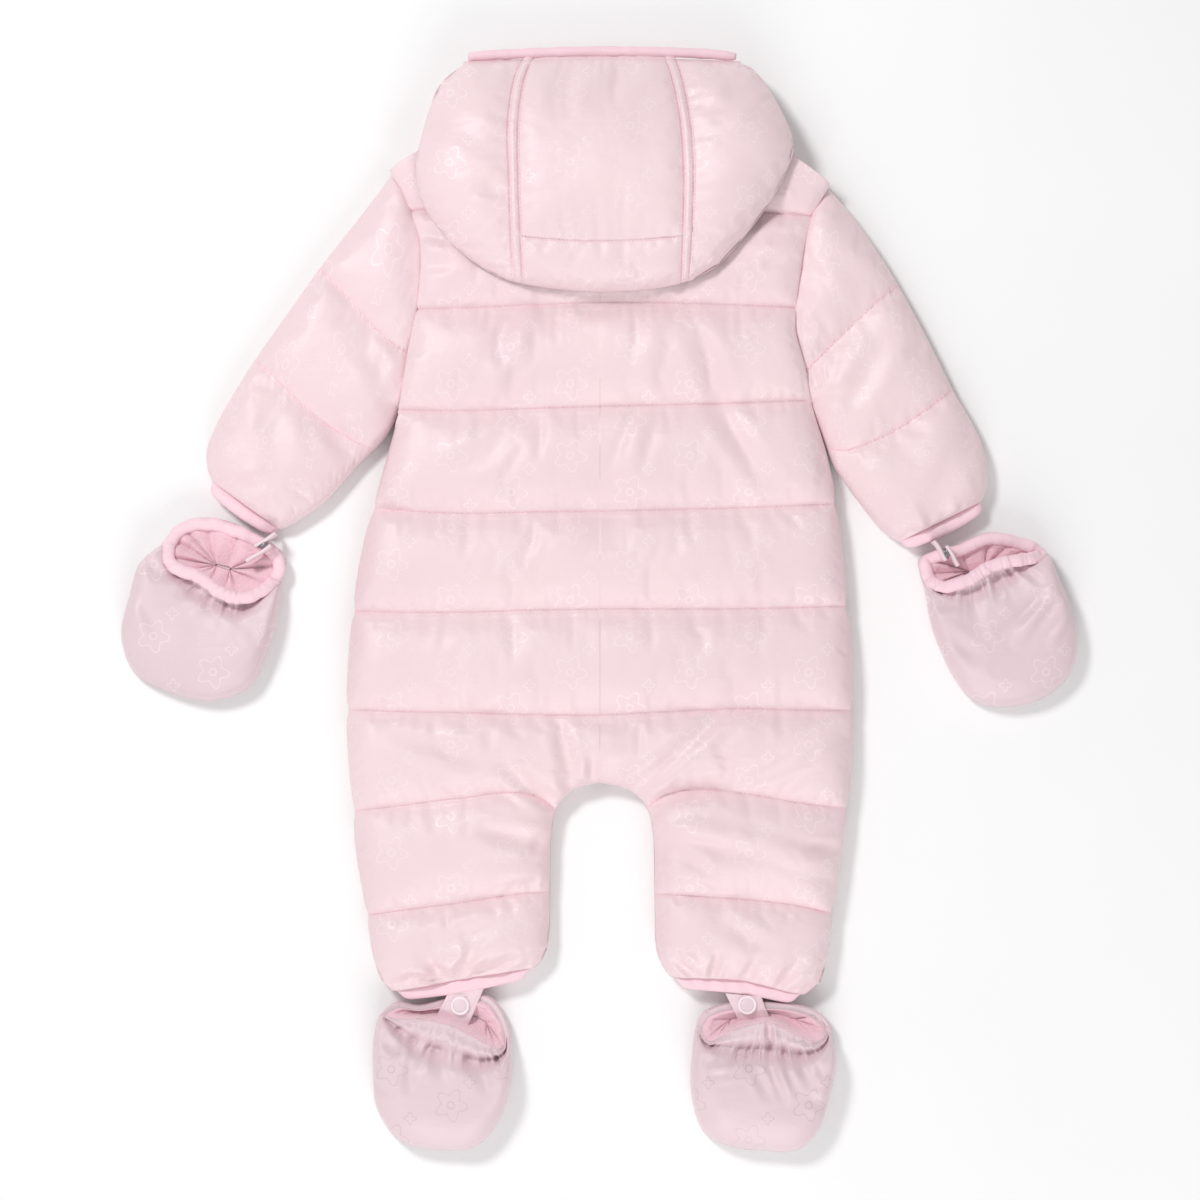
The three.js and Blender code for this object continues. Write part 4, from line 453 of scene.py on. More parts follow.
def make(name, points, faces, material, replaces=(), slot=None, body=SUIT, uv=None, seam=None,
         inward=False):
    """Mesh piece in metres that rides on a body and stands for its CAD nodes."""
    points = np.asarray(points, float)
    uv = points[:, :2] if uv is None else np.asarray(uv, float)
    seam = np.zeros(len(points)) if seam is None else np.asarray(seam, float)
    if isinstance(faces, np.ndarray) and faces.ndim == 2 and faces.shape[1] == 4:
        points, faces, (uv, seam), _ = weld(points, faces, [uv, seam])
        face_list = [list(dict.fromkeys(f)) for f in faces.tolist()]
    else:
        face_list = [list(f) for f in faces]
    mesh = bpy.data.meshes.new(name)
    mesh.from_pydata((points * MM).tolist(), [], face_list)
    mesh.validate()
    turn_out(mesh, inward)
    mesh.polygons.foreach_set("use_smooth", [True] * len(mesh.polygons))
    loops = np.empty(len(mesh.loops), int)
    mesh.loops.foreach_get("vertex_index", loops)
    layer = mesh.uv_layers.new(name="cloth")
    layer.data.foreach_set("uv", (uv[loops] * MM).ravel())
    mesh.attributes.new("seam", "FLOAT", "POINT").data.foreach_set("value", seam)
    mesh.materials.append(material)
    mesh.update()
    piece = bpy.data.objects.new(name, mesh)
    bpy.context.scene.collection.objects.link(piece)
    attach(piece, body)
    if replaces:
        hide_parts(*replaces)
    return piece


def make_grid(name, grid, material, uv=None, seam=None, **rest):
    rows, columns = grid.shape[:2]
    flat = lambda a: None if a is None else a.reshape(rows * columns, -1).squeeze()
    return make(name, grid.reshape(-1, 3), grid_faces(rows, columns), material,
                uv=None if uv is None else uv.reshape(-1, 2), seam=flat(seam), **rest)


def edge_skirt(grid, low, inset, sides):
    """Adds a folded-under rim to the named sides of a grid."""
    def past(edge, inner):
        out = edge - inner
        out[..., 2] = 0
        size = np.maximum(np.linalg.norm(out, axis=-1, keepdims=True), 1e-6)
        out = out / size
        top = edge[..., 2]
        mid, end = edge.copy(), edge.copy()
        mid[..., 2] = np.minimum((top + low) / 2, top)
        mid += out * 0.25
        end -= out * inset
        end[..., 2] = low
        return mid, end
    if "first" in sides:
        mid, end = past(grid[0], grid[1])
        grid = np.concatenate([end[None], mid[None], grid])
    if "last" in sides:
        mid, end = past(grid[-1], grid[-2])
        grid = np.concatenate([grid, mid[None], end[None]])
    if "left" in sides:
        mid, end = past(grid[:, 0], grid[:, 1])
        grid = np.concatenate([end[:, None], mid[:, None], grid], 1)
    if "right" in sides:
        mid, end = past(grid[:, -1], grid[:, -2])
        grid = np.concatenate([grid, mid[:, None], end[:, None]], 1)
    return grid


# Cloth under pressure

def inflate(sheets, frames=16, cap=4.5):
    """Swells padded sheets, held along their seams, and returns how far each point moves."""
    points, faces, pins, count = [], [], [], 0
    for grid, pin in sheets:
        coarse = grid[::2, ::2]
        rows, columns = coarse.shape[:2]
        flat = coarse.reshape(-1, 3)
        faces.append(facing_up(flat, grid_faces(rows, columns)) + count)
        points.append(flat)
        pins.append(pin[::2, ::2].ravel())
        count += rows * columns
    points, faces, pins = np.concatenate(points), np.concatenate(faces), np.concatenate(pins)
    keys = np.round(points * 100).astype(np.int64)
    _, first, number = np.unique(keys, axis=0, return_index=True, return_inverse=True)
    number = number.reshape(-1)
    held = np.zeros(len(first))
    np.maximum.at(held, number, pins)
    start = points[first]
    face_list = [list(dict.fromkeys(f)) for f in number[faces].tolist() if len(set(f)) > 2]
    mesh = bpy.data.meshes.new("swelling")
    mesh.from_pydata((start * 0.01).tolist(), [], face_list)
    piece = bpy.data.objects.new("swelling", mesh)
    bpy.context.scene.collection.objects.link(piece)
    group = piece.vertex_groups.new(name="held")
    for level in np.unique(np.round(held, 2)):
        if level > 0:
            group.add(np.nonzero(np.round(held, 2) == level)[0].tolist(), float(level), "REPLACE")
    cloth = piece.modifiers.new("cloth", "CLOTH")
    settings = cloth.settings
    settings.quality = 5
    settings.mass = 0.25
    settings.tension_stiffness = settings.compression_stiffness = 18
    settings.shear_stiffness = 6
    settings.bending_stiffness = 0.6
    settings.tension_damping = settings.compression_damping = 8
    settings.air_damping = 3
    settings.vertex_group_mass = "held"
    settings.shrink_min = -0.012
    settings.use_pressure = True
    settings.uniform_pressure_force = 1.6
    settings.effector_weights.gravity = 0
    cloth.collision_settings.use_collision = False
    cloth.collision_settings.use_self_collision = False
    cloth.point_cache.frame_start, cloth.point_cache.frame_end = 1, frames
    scene = bpy.context.scene
    for step in range(1, frames + 1):
        scene.frame_set(step)
    done = piece.evaluated_get(bpy.context.evaluated_depsgraph_get())
    end = np.empty(len(start) * 3)
    done.data.vertices.foreach_get("co", end)
    move = end.reshape(-1, 3) * 100 - start
    size = np.linalg.norm(move, axis=1, keepdims=True)
    move *= np.tanh(size / cap) * cap / np.maximum(size, 1e-6)
    bpy.data.objects.remove(piece)
    scene.frame_set(1)
    moves, at = [], 0
    for grid, _ in sheets:
        rows, columns = grid[::2, ::2].shape[:2]
        part = move[number[at:at + rows * columns]].reshape(rows, columns, 3)
        at += rows * columns
        moves.append(finer(finer(part, 0), 1)[:grid.shape[0], :grid.shape[1]])
    return moves


def finer(values, axis):
    """Twice as many steps along one axis, through a smooth curve."""
    v = np.moveaxis(values, axis, 0)
    padded = np.concatenate([2 * v[:1] - v[1:2], v, 2 * v[-1:] - v[-2:-1]])
    middle = (9 * (v[:-1] + v[1:]) - padded[:-3] - padded[3:]) / 16
    out = np.empty((2 * len(v) - 1,) + v.shape[1:])
    out[::2], out[1::2] = v, middle
    return np.moveaxis(out, 0, axis)


# Materials

class Shader:
    """Small helper that chains shader nodes for one material."""

    def __init__(self, name):
        self.material = bpy.data.materials.new(name)
        self.material.use_nodes = True
        self.tree = self.material.node_tree
        self.bsdf = self.tree.nodes["Principled BSDF"]

    def node(self, kind, **values):
        node = self.tree.nodes.new(kind)
        for key, value in values.items():
            if hasattr(node, key):
                setattr(node, key, value)
            else:
                self.put(node.inputs[key.replace("_", " ").capitalize()], value)
        return node

    def put(self, socket, value):
        if isinstance(value, bpy.types.NodeSocket):
            self.tree.links.new(value, socket)
        else:
            socket.default_value = value

    def math(self, operation, a, b=0.0, c=0.0):
        node = self.tree.nodes.new("ShaderNodeMath")
        node.operation = operation
        for socket, value in zip(node.inputs, (a, b, c)):
            self.put(socket, value)
        return node.outputs[0]

    def mix(self, share, a, b):
        node = self.tree.nodes.new("ShaderNodeMix")
        node.data_type = "RGBA"
        self.put(node.inputs[0], share)
        self.put(node.inputs[6], a)
        self.put(node.inputs[7], b)
        return node.outputs[2]

    def noise(self, vector, scale, detail=2.0, rough=0.5):
        node = self.tree.nodes.new("ShaderNodeTexNoise")
        self.put(node.inputs["Vector"], vector)
        node.inputs["Scale"].default_value = scale
        node.inputs["Detail"].default_value = detail
        node.inputs["Roughness"].default_value = rough
        return node.outputs["Fac"]

    def bump(self, height, strength, distance, normal=None):
        node = self.tree.nodes.new("ShaderNodeBump")
        node.inputs["Strength"].default_value = strength
        node.inputs["Distance"].default_value = distance
        self.put(node.inputs["Height"], height)
        if normal is not None:
            self.put(node.inputs["Normal"], normal)
        return node.outputs["Normal"]

    def place(self):
        return self.tree.nodes.new("ShaderNodeTexCoord").outputs["Object"]

    def cloth_uv(self):
        """U and V along the cloth, in millimetres."""
        uv = self.tree.nodes.new("ShaderNodeUVMap")
        uv.uv_map = "cloth"
        parts = self.tree.nodes.new("ShaderNodeSeparateXYZ")
        self.put(parts.inputs[0], uv.outputs[0])
        return (self.math("MULTIPLY", parts.outputs[0], 1000.0),
                self.math("MULTIPLY", parts.outputs[1], 1000.0))

    def seam(self):
        node = self.tree.nodes.new("ShaderNodeAttribute")
        node.attribute_name = "seam"
        return node.outputs["Fac"]

    def finish(self, **sockets):
        for key, value in sockets.items():
            self.put(self.bsdf.inputs[key.replace("_", " ")], value)
        return self.material


def srgb(red, green, blue):
    linear = lambda c: c / 12.92 if c <= 0.04045 else ((c + 0.055) / 1.055) ** 2.4
    return tuple(linear(c / 255) for c in (red, green, blue)) + (1.0,)


def outline_motifs(shader, u, v):
    """Half-drop repeat of plain five petal outlines with small stars between them."""
    m = shader.math
    column = m("FLOOR", m("DIVIDE", u, 38.0))
    drop = m("MULTIPLY", m("MODULO", m("ABSOLUTE", column), 2.0), 23.0)
    x = m("SUBTRACT", m("MULTIPLY", m("FRACT", m("DIVIDE", u, 38.0)), 38.0), 19.0)
    across = m("DIVIDE", m("ADD", v, drop), 46.0)
    y = m("SUBTRACT", m("MULTIPLY", m("FRACT", across), 46.0), 23.0)

    def outline(dx, dy, size, wobble, petals, turn):
        px, py = m("SUBTRACT", x, dx), m("SUBTRACT", y, dy)
        radius = m("SQRT", m("ADD", m("MULTIPLY", px, px), m("MULTIPLY", py, py)))
        angle = m("ADD", m("MULTIPLY", m("ARCTAN2", py, px), petals), turn)
        edge = m("ADD", m("MULTIPLY", m("COSINE", angle), wobble), size)
        off = m("ABSOLUTE", m("SUBTRACT", radius, edge))
        return m("SUBTRACT", 1.0, m("SMOOTH_MIN", m("DIVIDE", off, 0.75), 1.0, 0.3))

    flower = outline(0.0, 0.0, 8.4, 2.2, 5.0, 0.6)
    heart = outline(0.0, 0.0, 2.2, 0.0, 1.0, 0.0)
    star = outline(12.0, 14.5, 2.9, 1.0, 4.0, 0.0)
    return m("MAXIMUM", m("MAXIMUM", flower, heart), star)


def satin(name, main, shade, print_colour=None, roughness=0.46):
    shader = Shader(name)
    m = shader.math
    u, v = shader.cloth_uv()
    place = shader.place()
    clouds = shader.noise(place, 16.0, 2.0)
    colour = shader.mix(m("MULTIPLY", clouds, 0.55), main, shade)
    weave = m("MULTIPLY", m("ADD", m("SINE", m("MULTIPLY", m("ADD", u, m("MULTIPLY", v, 0.5)), 13.0)),
                            m("SINE", m("MULTIPLY", v, 17.0))), 0.5)
    rough = m("ADD", roughness, m("MULTIPLY", m("SUBTRACT", clouds, 0.5), 0.12))
    if print_colour:
        motif = outline_motifs(shader, u, v)
        fade = m("ADD", 0.1, m("MULTIPLY", shader.noise(place, 9.0, 1.0), 0.42))
        colour = shader.mix(m("MULTIPLY", motif, fade), colour, print_colour)
        rough = m("SUBTRACT", rough, m("MULTIPLY", motif, 0.14))
    colour = shader.mix(m("MULTIPLY", shader.seam(), 0.45), colour, srgb(248, 202, 211))
    crinkle = shader.noise(place, 70.0, 3.0, 0.55)
    drawn = shader.node("ShaderNodeMapping", Vector=place, Scale=(0.3, 1.7, 1.0)).outputs[0]
    streaks = shader.noise(drawn, 48.0, 3.0, 0.6)
    broad = shader.bump(m("ADD", crinkle, m("MULTIPLY", streaks, 0.9)), 0.22, 0.003)
    return shader.finish(Base_Color=colour, Roughness=rough, Normal=shader.bump(weave, 0.1, 0.00012, broad),
                         Sheen_Weight=0.3, Sheen_Roughness=0.4, Sheen_Tint=srgb(255, 240, 240),
                         Specular_IOR_Level=0.55)


def ribbed(name, colour, pitch, depth, rough=0.6):
    shader = Shader(name)
    m = shader.math
    u, v = shader.cloth_uv()
    ribs = m("SINE", m("MULTIPLY", u, 2 * math.pi / pitch))
    tone = shader.noise(shader.place(), 90.0, 2.0)
    base = shader.mix(m("MULTIPLY", tone, 0.35), colour, tuple(0.94 * c for c in colour[:3]) + (1.0,))
    base = shader.mix(m("MULTIPLY", shader.seam(), 0.5), base, srgb(240, 172, 192))
    return shader.finish(Base_Color=base, Roughness=rough, Normal=shader.bump(ribs, 0.35, depth),
                         Sheen_Weight=0.2, Sheen_Roughness=0.4)


def fleece():
    shader = Shader("fleece")
    place = shader.place()
    tufts = shader.noise(place, 520.0, 3.0, 0.65)
    lumps = shader.noise(place, 110.0, 2.0)
    base = shader.mix(tufts, srgb(242, 192, 206), srgb(251, 222, 229))
    base = shader.mix(shader.math("MULTIPLY", lumps, 0.3), base, srgb(238, 186, 200))
    soft = shader.bump(lumps, 0.5, 0.002)
    return shader.finish(Base_Color=base, Roughness=0.95, Normal=shader.bump(tufts, 0.8, 0.0012, soft),
                         Sheen_Weight=0.7, Sheen_Roughness=0.6, Specular_IOR_Level=0.2)


def plain(name, colour, rough, metal=0.0, scale=60.0, depth=0.0002):
    shader = Shader(name)
    tone = shader.noise(shader.place(), scale, 3.0)
    base = shader.mix(tone, tuple(0.93 * c for c in colour[:3]) + (1.0,), colour)
    uneven = shader.math("ADD", rough, shader.math("MULTIPLY", tone, 0.12))
    return shader.finish(Base_Color=base, Roughness=uneven, Metallic=metal,
                         Normal=shader.bump(tone, 0.15, depth))


LIGHT_PRINT = srgb(255, 246, 248)
SATIN = satin("satin", srgb(243, 219, 221), srgb(228, 200, 210), LIGHT_PRINT)
# The mittens and booties use darker, more lilac copies of the same satin: painted shade for how the light and sheen
# fall on them.
MITTEN_SHADED_SATIN = satin("mitten_shaded_satin", srgb(231, 208, 213), srgb(217, 193, 203), LIGHT_PRINT)
BOOTIE_SHADED_SATIN = satin("bootie_shaded_satin", srgb(231, 209, 214), srgb(219, 194, 203), srgb(178, 152, 163))
STRAP = satin("strap_satin", srgb(242, 218, 224), srgb(230, 204, 214), None, 0.42)
BINDING = ribbed("elastic_binding", srgb(250, 215, 225), 0.9, 0.00012)
FLEECE = fleece()
THREAD = plain("thread", srgb(253, 212, 222), 0.6, 0.0, 900.0)
RING = plain("snap_ring", srgb(250, 238, 243), 0.28)
DISC = plain("snap_disc", srgb(238, 216, 224), 0.35)
METAL = plain("steel", srgb(168, 167, 171), 0.18, 1.0, 200.0)
ZIP = ribbed("zip_tape", srgb(238, 178, 197), 1.2, 0.0003, 0.7)


# Grids of the padded pieces

def body_sheet():
    """Plan grid of the back: left half, then right half, with both middle columns."""
    steps, columns = 44, 85
    left_x, left_y = body_half("left", BODY_LINES, steps, columns)
    right_x, right_y = body_half("right", BODY_LINES, steps, columns)
    halves = []
    for x, y in ((left_x, left_y), (right_x, right_y)):
        x = scallop(x, y)
        z = back_top(x, y) + back_relief(x, y)
        halves.append(np.stack([x, y, np.maximum(z, BACK_BOTTOM + EDGE * 0.8)], -1))
    return halves


def body_pins(grid):
    x, y = grid[..., 0], grid[..., 1]
    lines = nearest(x, y, BODY_TRACES)
    rims = np.minimum(nearest(x, y, FREE_EDGES), nearest(x, y, ARMHOLES))
    ends = np.minimum(y - line_height(HEM_LINE, x), 400)
    held = np.maximum(1 - smooth(lines, 0.8, 3.0), 1 - smooth(rims, 1.5, 5.0))
    held = np.maximum(held, 1 - smooth(ends, 1.0, 5.0))
    hidden = (y > 262) | ((y > 215) & (np.abs(x) < 80))
    return np.where(hidden, 1.0, np.round(held, 1))


def sleeve_plan(side, rows, columns):
    data = SLEEVES[side]
    outward = -1 if side == "left" else 1
    t = np.linspace(0, 1, rows)
    s = np.linspace(0, 1, columns)
    s = lerp(s, s * s * (3 - 2 * s), 0.75)
    outer, inner = point_on(data["outer"], t), point_on(data["inner"], t)
    plan = outer[:, None] + (inner - outer)[:, None] * s[None, :, None]
    start = plan[0]
    bulge = side_edge(side, start[:, 1]) - outward * 0.9 - start[:, 0]
    fade = np.maximum(1 - t * 2.2, 0) ** 1.6
    plan[..., 0] += fade[:, None] * bulge[None]
    return plan, t, s


def sleeve_piece(side):
    """Top and underside of a flat sleeve, as two grids on one plan."""
    rows, columns = 129, 65
    plan, t, s = sleeve_plan(side, rows, columns)
    x, y = plan[..., 0], plan[..., 1]
    lines = [point_on(line, np.linspace(0, 1, 17)) for line in SLEEVES[side]["lines"]]
    rims = [plan[:, 0], plan[:, -1]]
    near, rim = nearest(x, y, lines), nearest(x, y, rims)
    armhole, cuff = nearest(x, y, [plan[0]]), nearest(x, y, [plan[-1]])
    edge = quarter_round(rim, 24)
    full = lerp(9, 15, quarter_round(near, 30)) * lerp(0.7, 1, quarter_round(armhole, 16))
    full = full * lerp(0.5, 1, quarter_round(cuff, 16))
    seed = 500 if side == "left" else 600
    slack = 0.9 * noise2(x + y, x - y, 34, 22, seed) + 0.5 * noise2(x, y, 16, 16, seed + 1)
    relief = 1.4 * folds(SLEEVE_FOLDS[side], x, y) + slack * (1 - np.exp(-near / 7))
    relief = relief + puckers(x, y, lines, seed + 2, 0.9, 13)
    relief = relief + puckers(x, y, [plan[0]], seed + 40, 1.3, 12, 7.5)
    relief = relief + puckers(x, y, [plan[-1]], seed + 60, 3.0, 15, 8.5)
    relief = relief + puckers(x, y, rims, seed + 80, 0.5, 9, 9)
    top = SLEEVE_MIDDLE + 1.4 + np.maximum((full + relief) * edge, 0)
    under = np.maximum((SLEEVE_MIDDLE - 1.4) * (1 - quarter_round(rim, 9)),
                       2 * (1 - quarter_round(near, 7)))
    upper = np.stack([x, y, top], -1)
    lower = np.stack([x, y, under], -1)
    held = np.maximum(1 - smooth(near, 0.8, 3), 1 - smooth(rim, 1, 4))
    held = np.maximum(held, 1 - smooth(np.minimum(armhole, cuff), 1, 4))
    return upper, lower, lines, np.round(held, 1), np.stack([t[:, None] * 250 + 0 * s, 0 * t[:, None] + s * 110], -1)


# Hood

HOOD_OUTLINE = HOOD_LEFT_EDGE + HOOD_BOTTOM[1:-1] + HOOD_RIGHT_EDGE[::-1]
HOOD_RIM = HOOD_OUTLINE + HOOD_TOP[1:-1][::-1]
SEAMS = np.array(HOOD_SEAMS, float)[::-1]
seam_at = lambda column, y: along(SEAMS[:, 0], SEAMS[:, column], y)
line_at = lambda points, x: along([p[0] for p in points], [p[1] for p in points], x)


HOOD_TUCK = 1.6


def hood_round(x, y):
    return quarter_round(line_distance(x, y, HOOD_RIM + HOOD_RIM[:1])[0], 38)


def cover_height(x, y):
    inside = (x >= side_edge("left", y) - 3) & (x <= side_edge("right", y) + 3)
    inside = inside & (y <= line_height(BODY_LINES[-1], x) + 3)
    return np.where(inside, back_top(x, y), 0)


def hood_underside(x, y):
    round_off = hood_round(x, y)
    profile = np.array(HOOD_PROFILE, float)
    edge = along(profile[:, 0], profile[:, 1], y)
    rise = along(profile[:, 0], profile[:, 2], y)
    return np.maximum(edge + rise * round_off - lerp(3, 7, round_off), cover_height(x, y) + 0.5)


def hood_top(x, y):
    traces = [TRACE(HOOD_SEAMS, column) for column in (1, 2, 3, 4)] + [HOOD_CROSS]
    seams = nearest(x, y, traces)
    round_off = hood_round(x, y)
    wall = lerp(3, 7, round_off) - 1.8 * round_off
    return hood_underside(x, y) + wall + 3 * round_off * quarter_round(seams, 16)


def hood_strip(rows, columns, top, bottom, left, right):
    u, v = np.meshgrid(np.linspace(0, 1, rows), np.linspace(0, 1, columns), indexing="ij")
    x, y = np.zeros_like(u), np.zeros_like(u)
    for _ in range(5):
        y = lerp(top(x), bottom(x), u)
        x = lerp(left(y), right(y), v)
    return np.stack([x, y], -1)


def hood_side(rows, columns, edge, column, offset):
    t = np.linspace(0, 1, rows)
    outer = point_on(edge, t)
    seam_y = lerp(edge[0][1] + 1.4, edge[-1][1] - 0.6, t)
    inner = np.stack([seam_at(column, seam_y) + offset, seam_y], -1)
    s = np.linspace(0, 1, columns)
    s = lerp(s, s * s, 0.35)
    plan = outer[:, None] + (inner - outer)[:, None] * s[None, :, None]
    plan[0, :, 1] += HOOD_TUCK
    return plan


def hood_plans():
    half = -0.1
    top = lambda x: line_at(HOOD_TOP, x) + HOOD_TUCK
    cross = lambda x: line_at(HOOD_CROSS, x)
    bottom = lambda x: line_at(HOOD_BOTTOM, x) + 0.2
    seam = lambda column, offset: (lambda y: seam_at(column, y) + offset)
    middle = (seam(2, half), seam(3, -half))
    return {
        "hood_middle_upper": hood_strip(69, 61, top, lambda x: cross(x) + half, *middle),
        "hood_middle_lower": hood_strip(25, 61, lambda x: cross(x) - half, bottom, *middle),
        "hood_band_left": hood_strip(131, 9, top, bottom, seam(1, half), seam(2, -half)),
        "hood_band_right": hood_strip(131, 9, top, bottom, seam(3, half), seam(4, -half)),
        "hood_side_left": hood_side(97, 41, HOOD_LEFT_EDGE, 1, -half),
        "hood_side_right": hood_side(97, 41, HOOD_RIGHT_EDGE, 4, half)}


def hood_panel(name, plan):
    x = plan[..., 0]
    y = np.minimum(plan[..., 1], line_at(HOOD_TOP, x))
    round_off = hood_round(x, y)
    z = hood_top(x, y)
    rim = line_distance(x, y, HOOD_RIM + HOOD_RIM[:1])[0]
    if "band" in name:
        ribs = 0.45 * noise1(y + 0.15 * x, 3.4, 71 if "left" in name else 72)
        side = np.sin(np.pi * np.clip(np.linspace(0, 1, plan.shape[1]), 0, 1))[None]
        z = z + (0.9 + ribs) * side
        held = np.ones_like(z)
    else:
        traces = [TRACE(HOOD_SEAMS, column) for column in (1, 2, 3, 4)] + [HOOD_CROSS]
        near = nearest(x, y, traces)
        slack = 0.8 * noise2(x, y, 22, 30, 81) + 0.5 * noise2(x, y, 13, 17, 82)
        relief = 1.3 * folds(HOOD_FOLDS, x, y) + slack * (1 - np.exp(-near / 6))
        relief = relief + puckers(x, y, traces, 700, 0.8, 12, 6.0)
        relief = relief + puckers(x, y, [HOOD_TOP], 740, 1.3, 16, 7.0)
        z = z + relief * smooth(round_off, 0.0, 0.6)
        held = np.maximum(1 - smooth(near, 0.8, 3), 1 - smooth(rim, 1, 5))
    return np.stack([x, plan[..., 1], z], -1), np.round(held, 1)


# Pouches

POUCH_COUNT = 360
# Each kind's cloth is a darker copy of the suit's satin, with painted shade.
POUCH_SIZES = {
    "mitten": dict(puff=27.0, front=21.0, back=10.0, well=7.5, reach=0.1, shift=6.5, lobes=13,
                   elastic=0.92, neck=4.4, ruffle=0.0, pull=2.1, tall=4.8, cloth=MITTEN_SHADED_SATIN),
    "bootie": dict(puff=29.0, front=24.0, back=14.0, well=9.5, reach=0.32, shift=-1.5, lobes=11,
                   elastic=0.8, neck=6.6, ruffle=2.0, pull=2.6, tall=2.8, cloth=BOOTIE_SHADED_SATIN)}


def toward(points, axis, distance):
    """Points moved in towards a line, never reaching it."""
    best = np.full(len(points), 1e9)
    near = np.zeros_like(points)
    for p, q in zip(np.array(axis[:-1], float), np.array(axis[1:], float)):
        d = q - p
        t = np.clip(((points - p) @ d) / (d @ d), 0, 1)
        foot = p + t[:, None] * d
        size = np.linalg.norm(points - foot, axis=1)
        near[size < best] = foot[size < best]
        best = np.minimum(best, size)
    share = 1 - np.exp(-np.broadcast_to(distance, best.shape) / np.maximum(best, 1e-6))
    return points + (near - points) * share[:, None]


def pouch(kind, side):
    """Shell and lining rings of a mitten or a bootie."""
    name = f"{kind}_{side}"
    sizes = POUCH_SIZES[kind]
    table = np.array(POUCHES[name], float)
    body, mouth = closed_curve(table[:, :2], POUCH_COUNT), closed_curve(table[:, 2:], POUCH_COUNT)
    depth = np.linalg.norm(body - mouth, axis=1)
    deepest = depth.max()
    front = quarter_round(depth - 4, deepest * 0.8)
    lip = lerp(sizes["back"], sizes["front"], front)
    axis = MOUTH_AXES[name]
    base = body.mean(0)
    turn = np.arange(POUCH_COUNT) / POUCH_COUNT
    seed = {"mitten_left": 810, "mitten_right": 830, "bootie_left": 850, "bootie_right": 870}[name]
    ring_wave = lambda wave, own: np.array([
        lerp(noise1(turn * wave, 1, own), noise1(turn * wave - wave, 1, own), smooth(turn, 0.8, 1.0))]).ravel()
    gather = ring_wave(52, seed) + 0.7 * ring_wave(92, seed + 1)
    broad = ring_wave(26, seed + 2)
    puff_at = lambda q: lerp(lip, sizes["puff"], front * np.sin(np.pi * min(q, 1.0)) ** 0.7)
    tight = sizes["elastic"]
    keys = np.array([0, 0.03, 0.07, 0.25, 0.5, tight - 0.13, tight, (1 + tight) / 2, 1.0])
    heights = np.stack([
        np.full(POUCH_COUNT, 8.0), lerp(8, puff_at(0.1), 0.45), lerp(8, puff_at(0.15), 0.72),
        puff_at(0.35), puff_at(0.55), puff_at(tight - 0.05) - 0.8 * front,
        puff_at(1.0) - sizes["neck"] * front, lip + (sizes["ruffle"] - 0.4) * front, lip])
    hub = [base, base + [1, 0]]
    rings = [np.column_stack([toward(body, hub, inset), np.full(POUCH_COUNT, height)])
             for inset, height in ((10.0, 0.0), (5.0, 0.5), (2.4, 2.0), (0.8, 4.8))]
    steps = np.concatenate([np.linspace(0, 0.07, 5), np.linspace(0.09, 1, 48)])
    for q in steps:
        plan = body + (mouth - body) * q
        z = np.array([along(keys, heights[:, i], q) for i in range(POUCH_COUNT)])
        fine = math.exp(-((q - tight) / (0.07 if q < tight else 0.1)) ** 2)
        wide = math.exp(-((q - tight) / (0.22 if q < tight else 0.04)) ** 2)
        slack = 0.8 * noise2(plan[:, 0], plan[:, 1], 17, 26, seed + 3) * math.sin(math.pi * min(q * 1.1, 1))
        drawn = sizes["pull"] * (gather * fine + broad * wide)
        placed = folds(POUCH_FOLDS[name], plan[:, 0], plan[:, 1])
        z = z + front * (drawn + slack + placed) * float(smooth(q, 0.02, 0.2))
        z = z - 0.3 * front * sizes["ruffle"] * math.exp(-((q - 0.955) / 0.012) ** 2)
        rings.append(np.column_stack([plan, np.maximum(z, 3.0)]))
    turned = lerp(0.25, 1, front)
    inner = [(1.2, lip + 0.7), (2.4, lip - 0.2), (3.2, lip - 3.0)]
    for distance, height in inner:
        rings.append(np.column_stack([toward(mouth, axis, distance * turned), height + 0.5 * front * gather]))
    shell = np.stack(rings)
    phase = turn * sizes["lobes"] + 0.8 * ring_wave(5, seed + 5) + 0.16 * ring_wave(17, seed + 6)
    lobe = (np.abs(np.sin(np.pi * phase)) ** 0.7 - 0.6) * (0.85 + 0.45 * ring_wave(8, seed + 7))
    inside = [np.column_stack([toward(mouth, axis, 1.3 * turned), lip - 1.2]),
              np.column_stack([toward(mouth, axis, 1.7 * turned), lip + 0.6])]
    start = toward(mouth, axis, 2.2 * lerp(0.5, 1, front))
    ahead = base - mouth.mean(0)
    ahead = ahead / np.linalg.norm(ahead) * sizes["shift"]
    well = point_on(axis, np.linspace(0.5 - sizes["reach"], 0.5 + sizes["reach"], 5)) + ahead
    centre = toward(start, well, 1e4)
    for share in np.linspace(0, 1, 28):
        fall = lerp(0.3 * share + 0.7 * share ** 2.2, 1 - (1 - share) ** 2.4, front)
        bulge = 1.5 * math.sin(math.pi * min(share / 0.35, 1)) * (1 - 0.7 * front)
        height = lerp(lip + 0.9, sizes["well"], fall) + bulge
        fold = sizes["tall"] * math.sin(math.pi * (0.06 + 0.92 * share)) ** 0.7
        plan = start + (centre - start) * share
        soft = 0.7 * noise2(plan[:, 0], plan[:, 1], 7, 7, seed + 8) * math.sin(math.pi * share)
        inside.append(np.column_stack([plan, np.maximum(height + fold * lobe + soft, 5.3)]))
    hem = np.argmin(np.abs(steps - 0.955)) + 4
    return dict(name=name, body=body, hem=rings[hem][front > 0.12], mouth=mouth, front=front, lip=lip, shell=shell,
                lining=np.stack(inside), gather=gather, axis=axis, base=base, turn=turn)


def ring_grid(rings):
    """Rings as a grid that closes on itself."""
    return np.concatenate([rings, rings[:, :1]], 1)


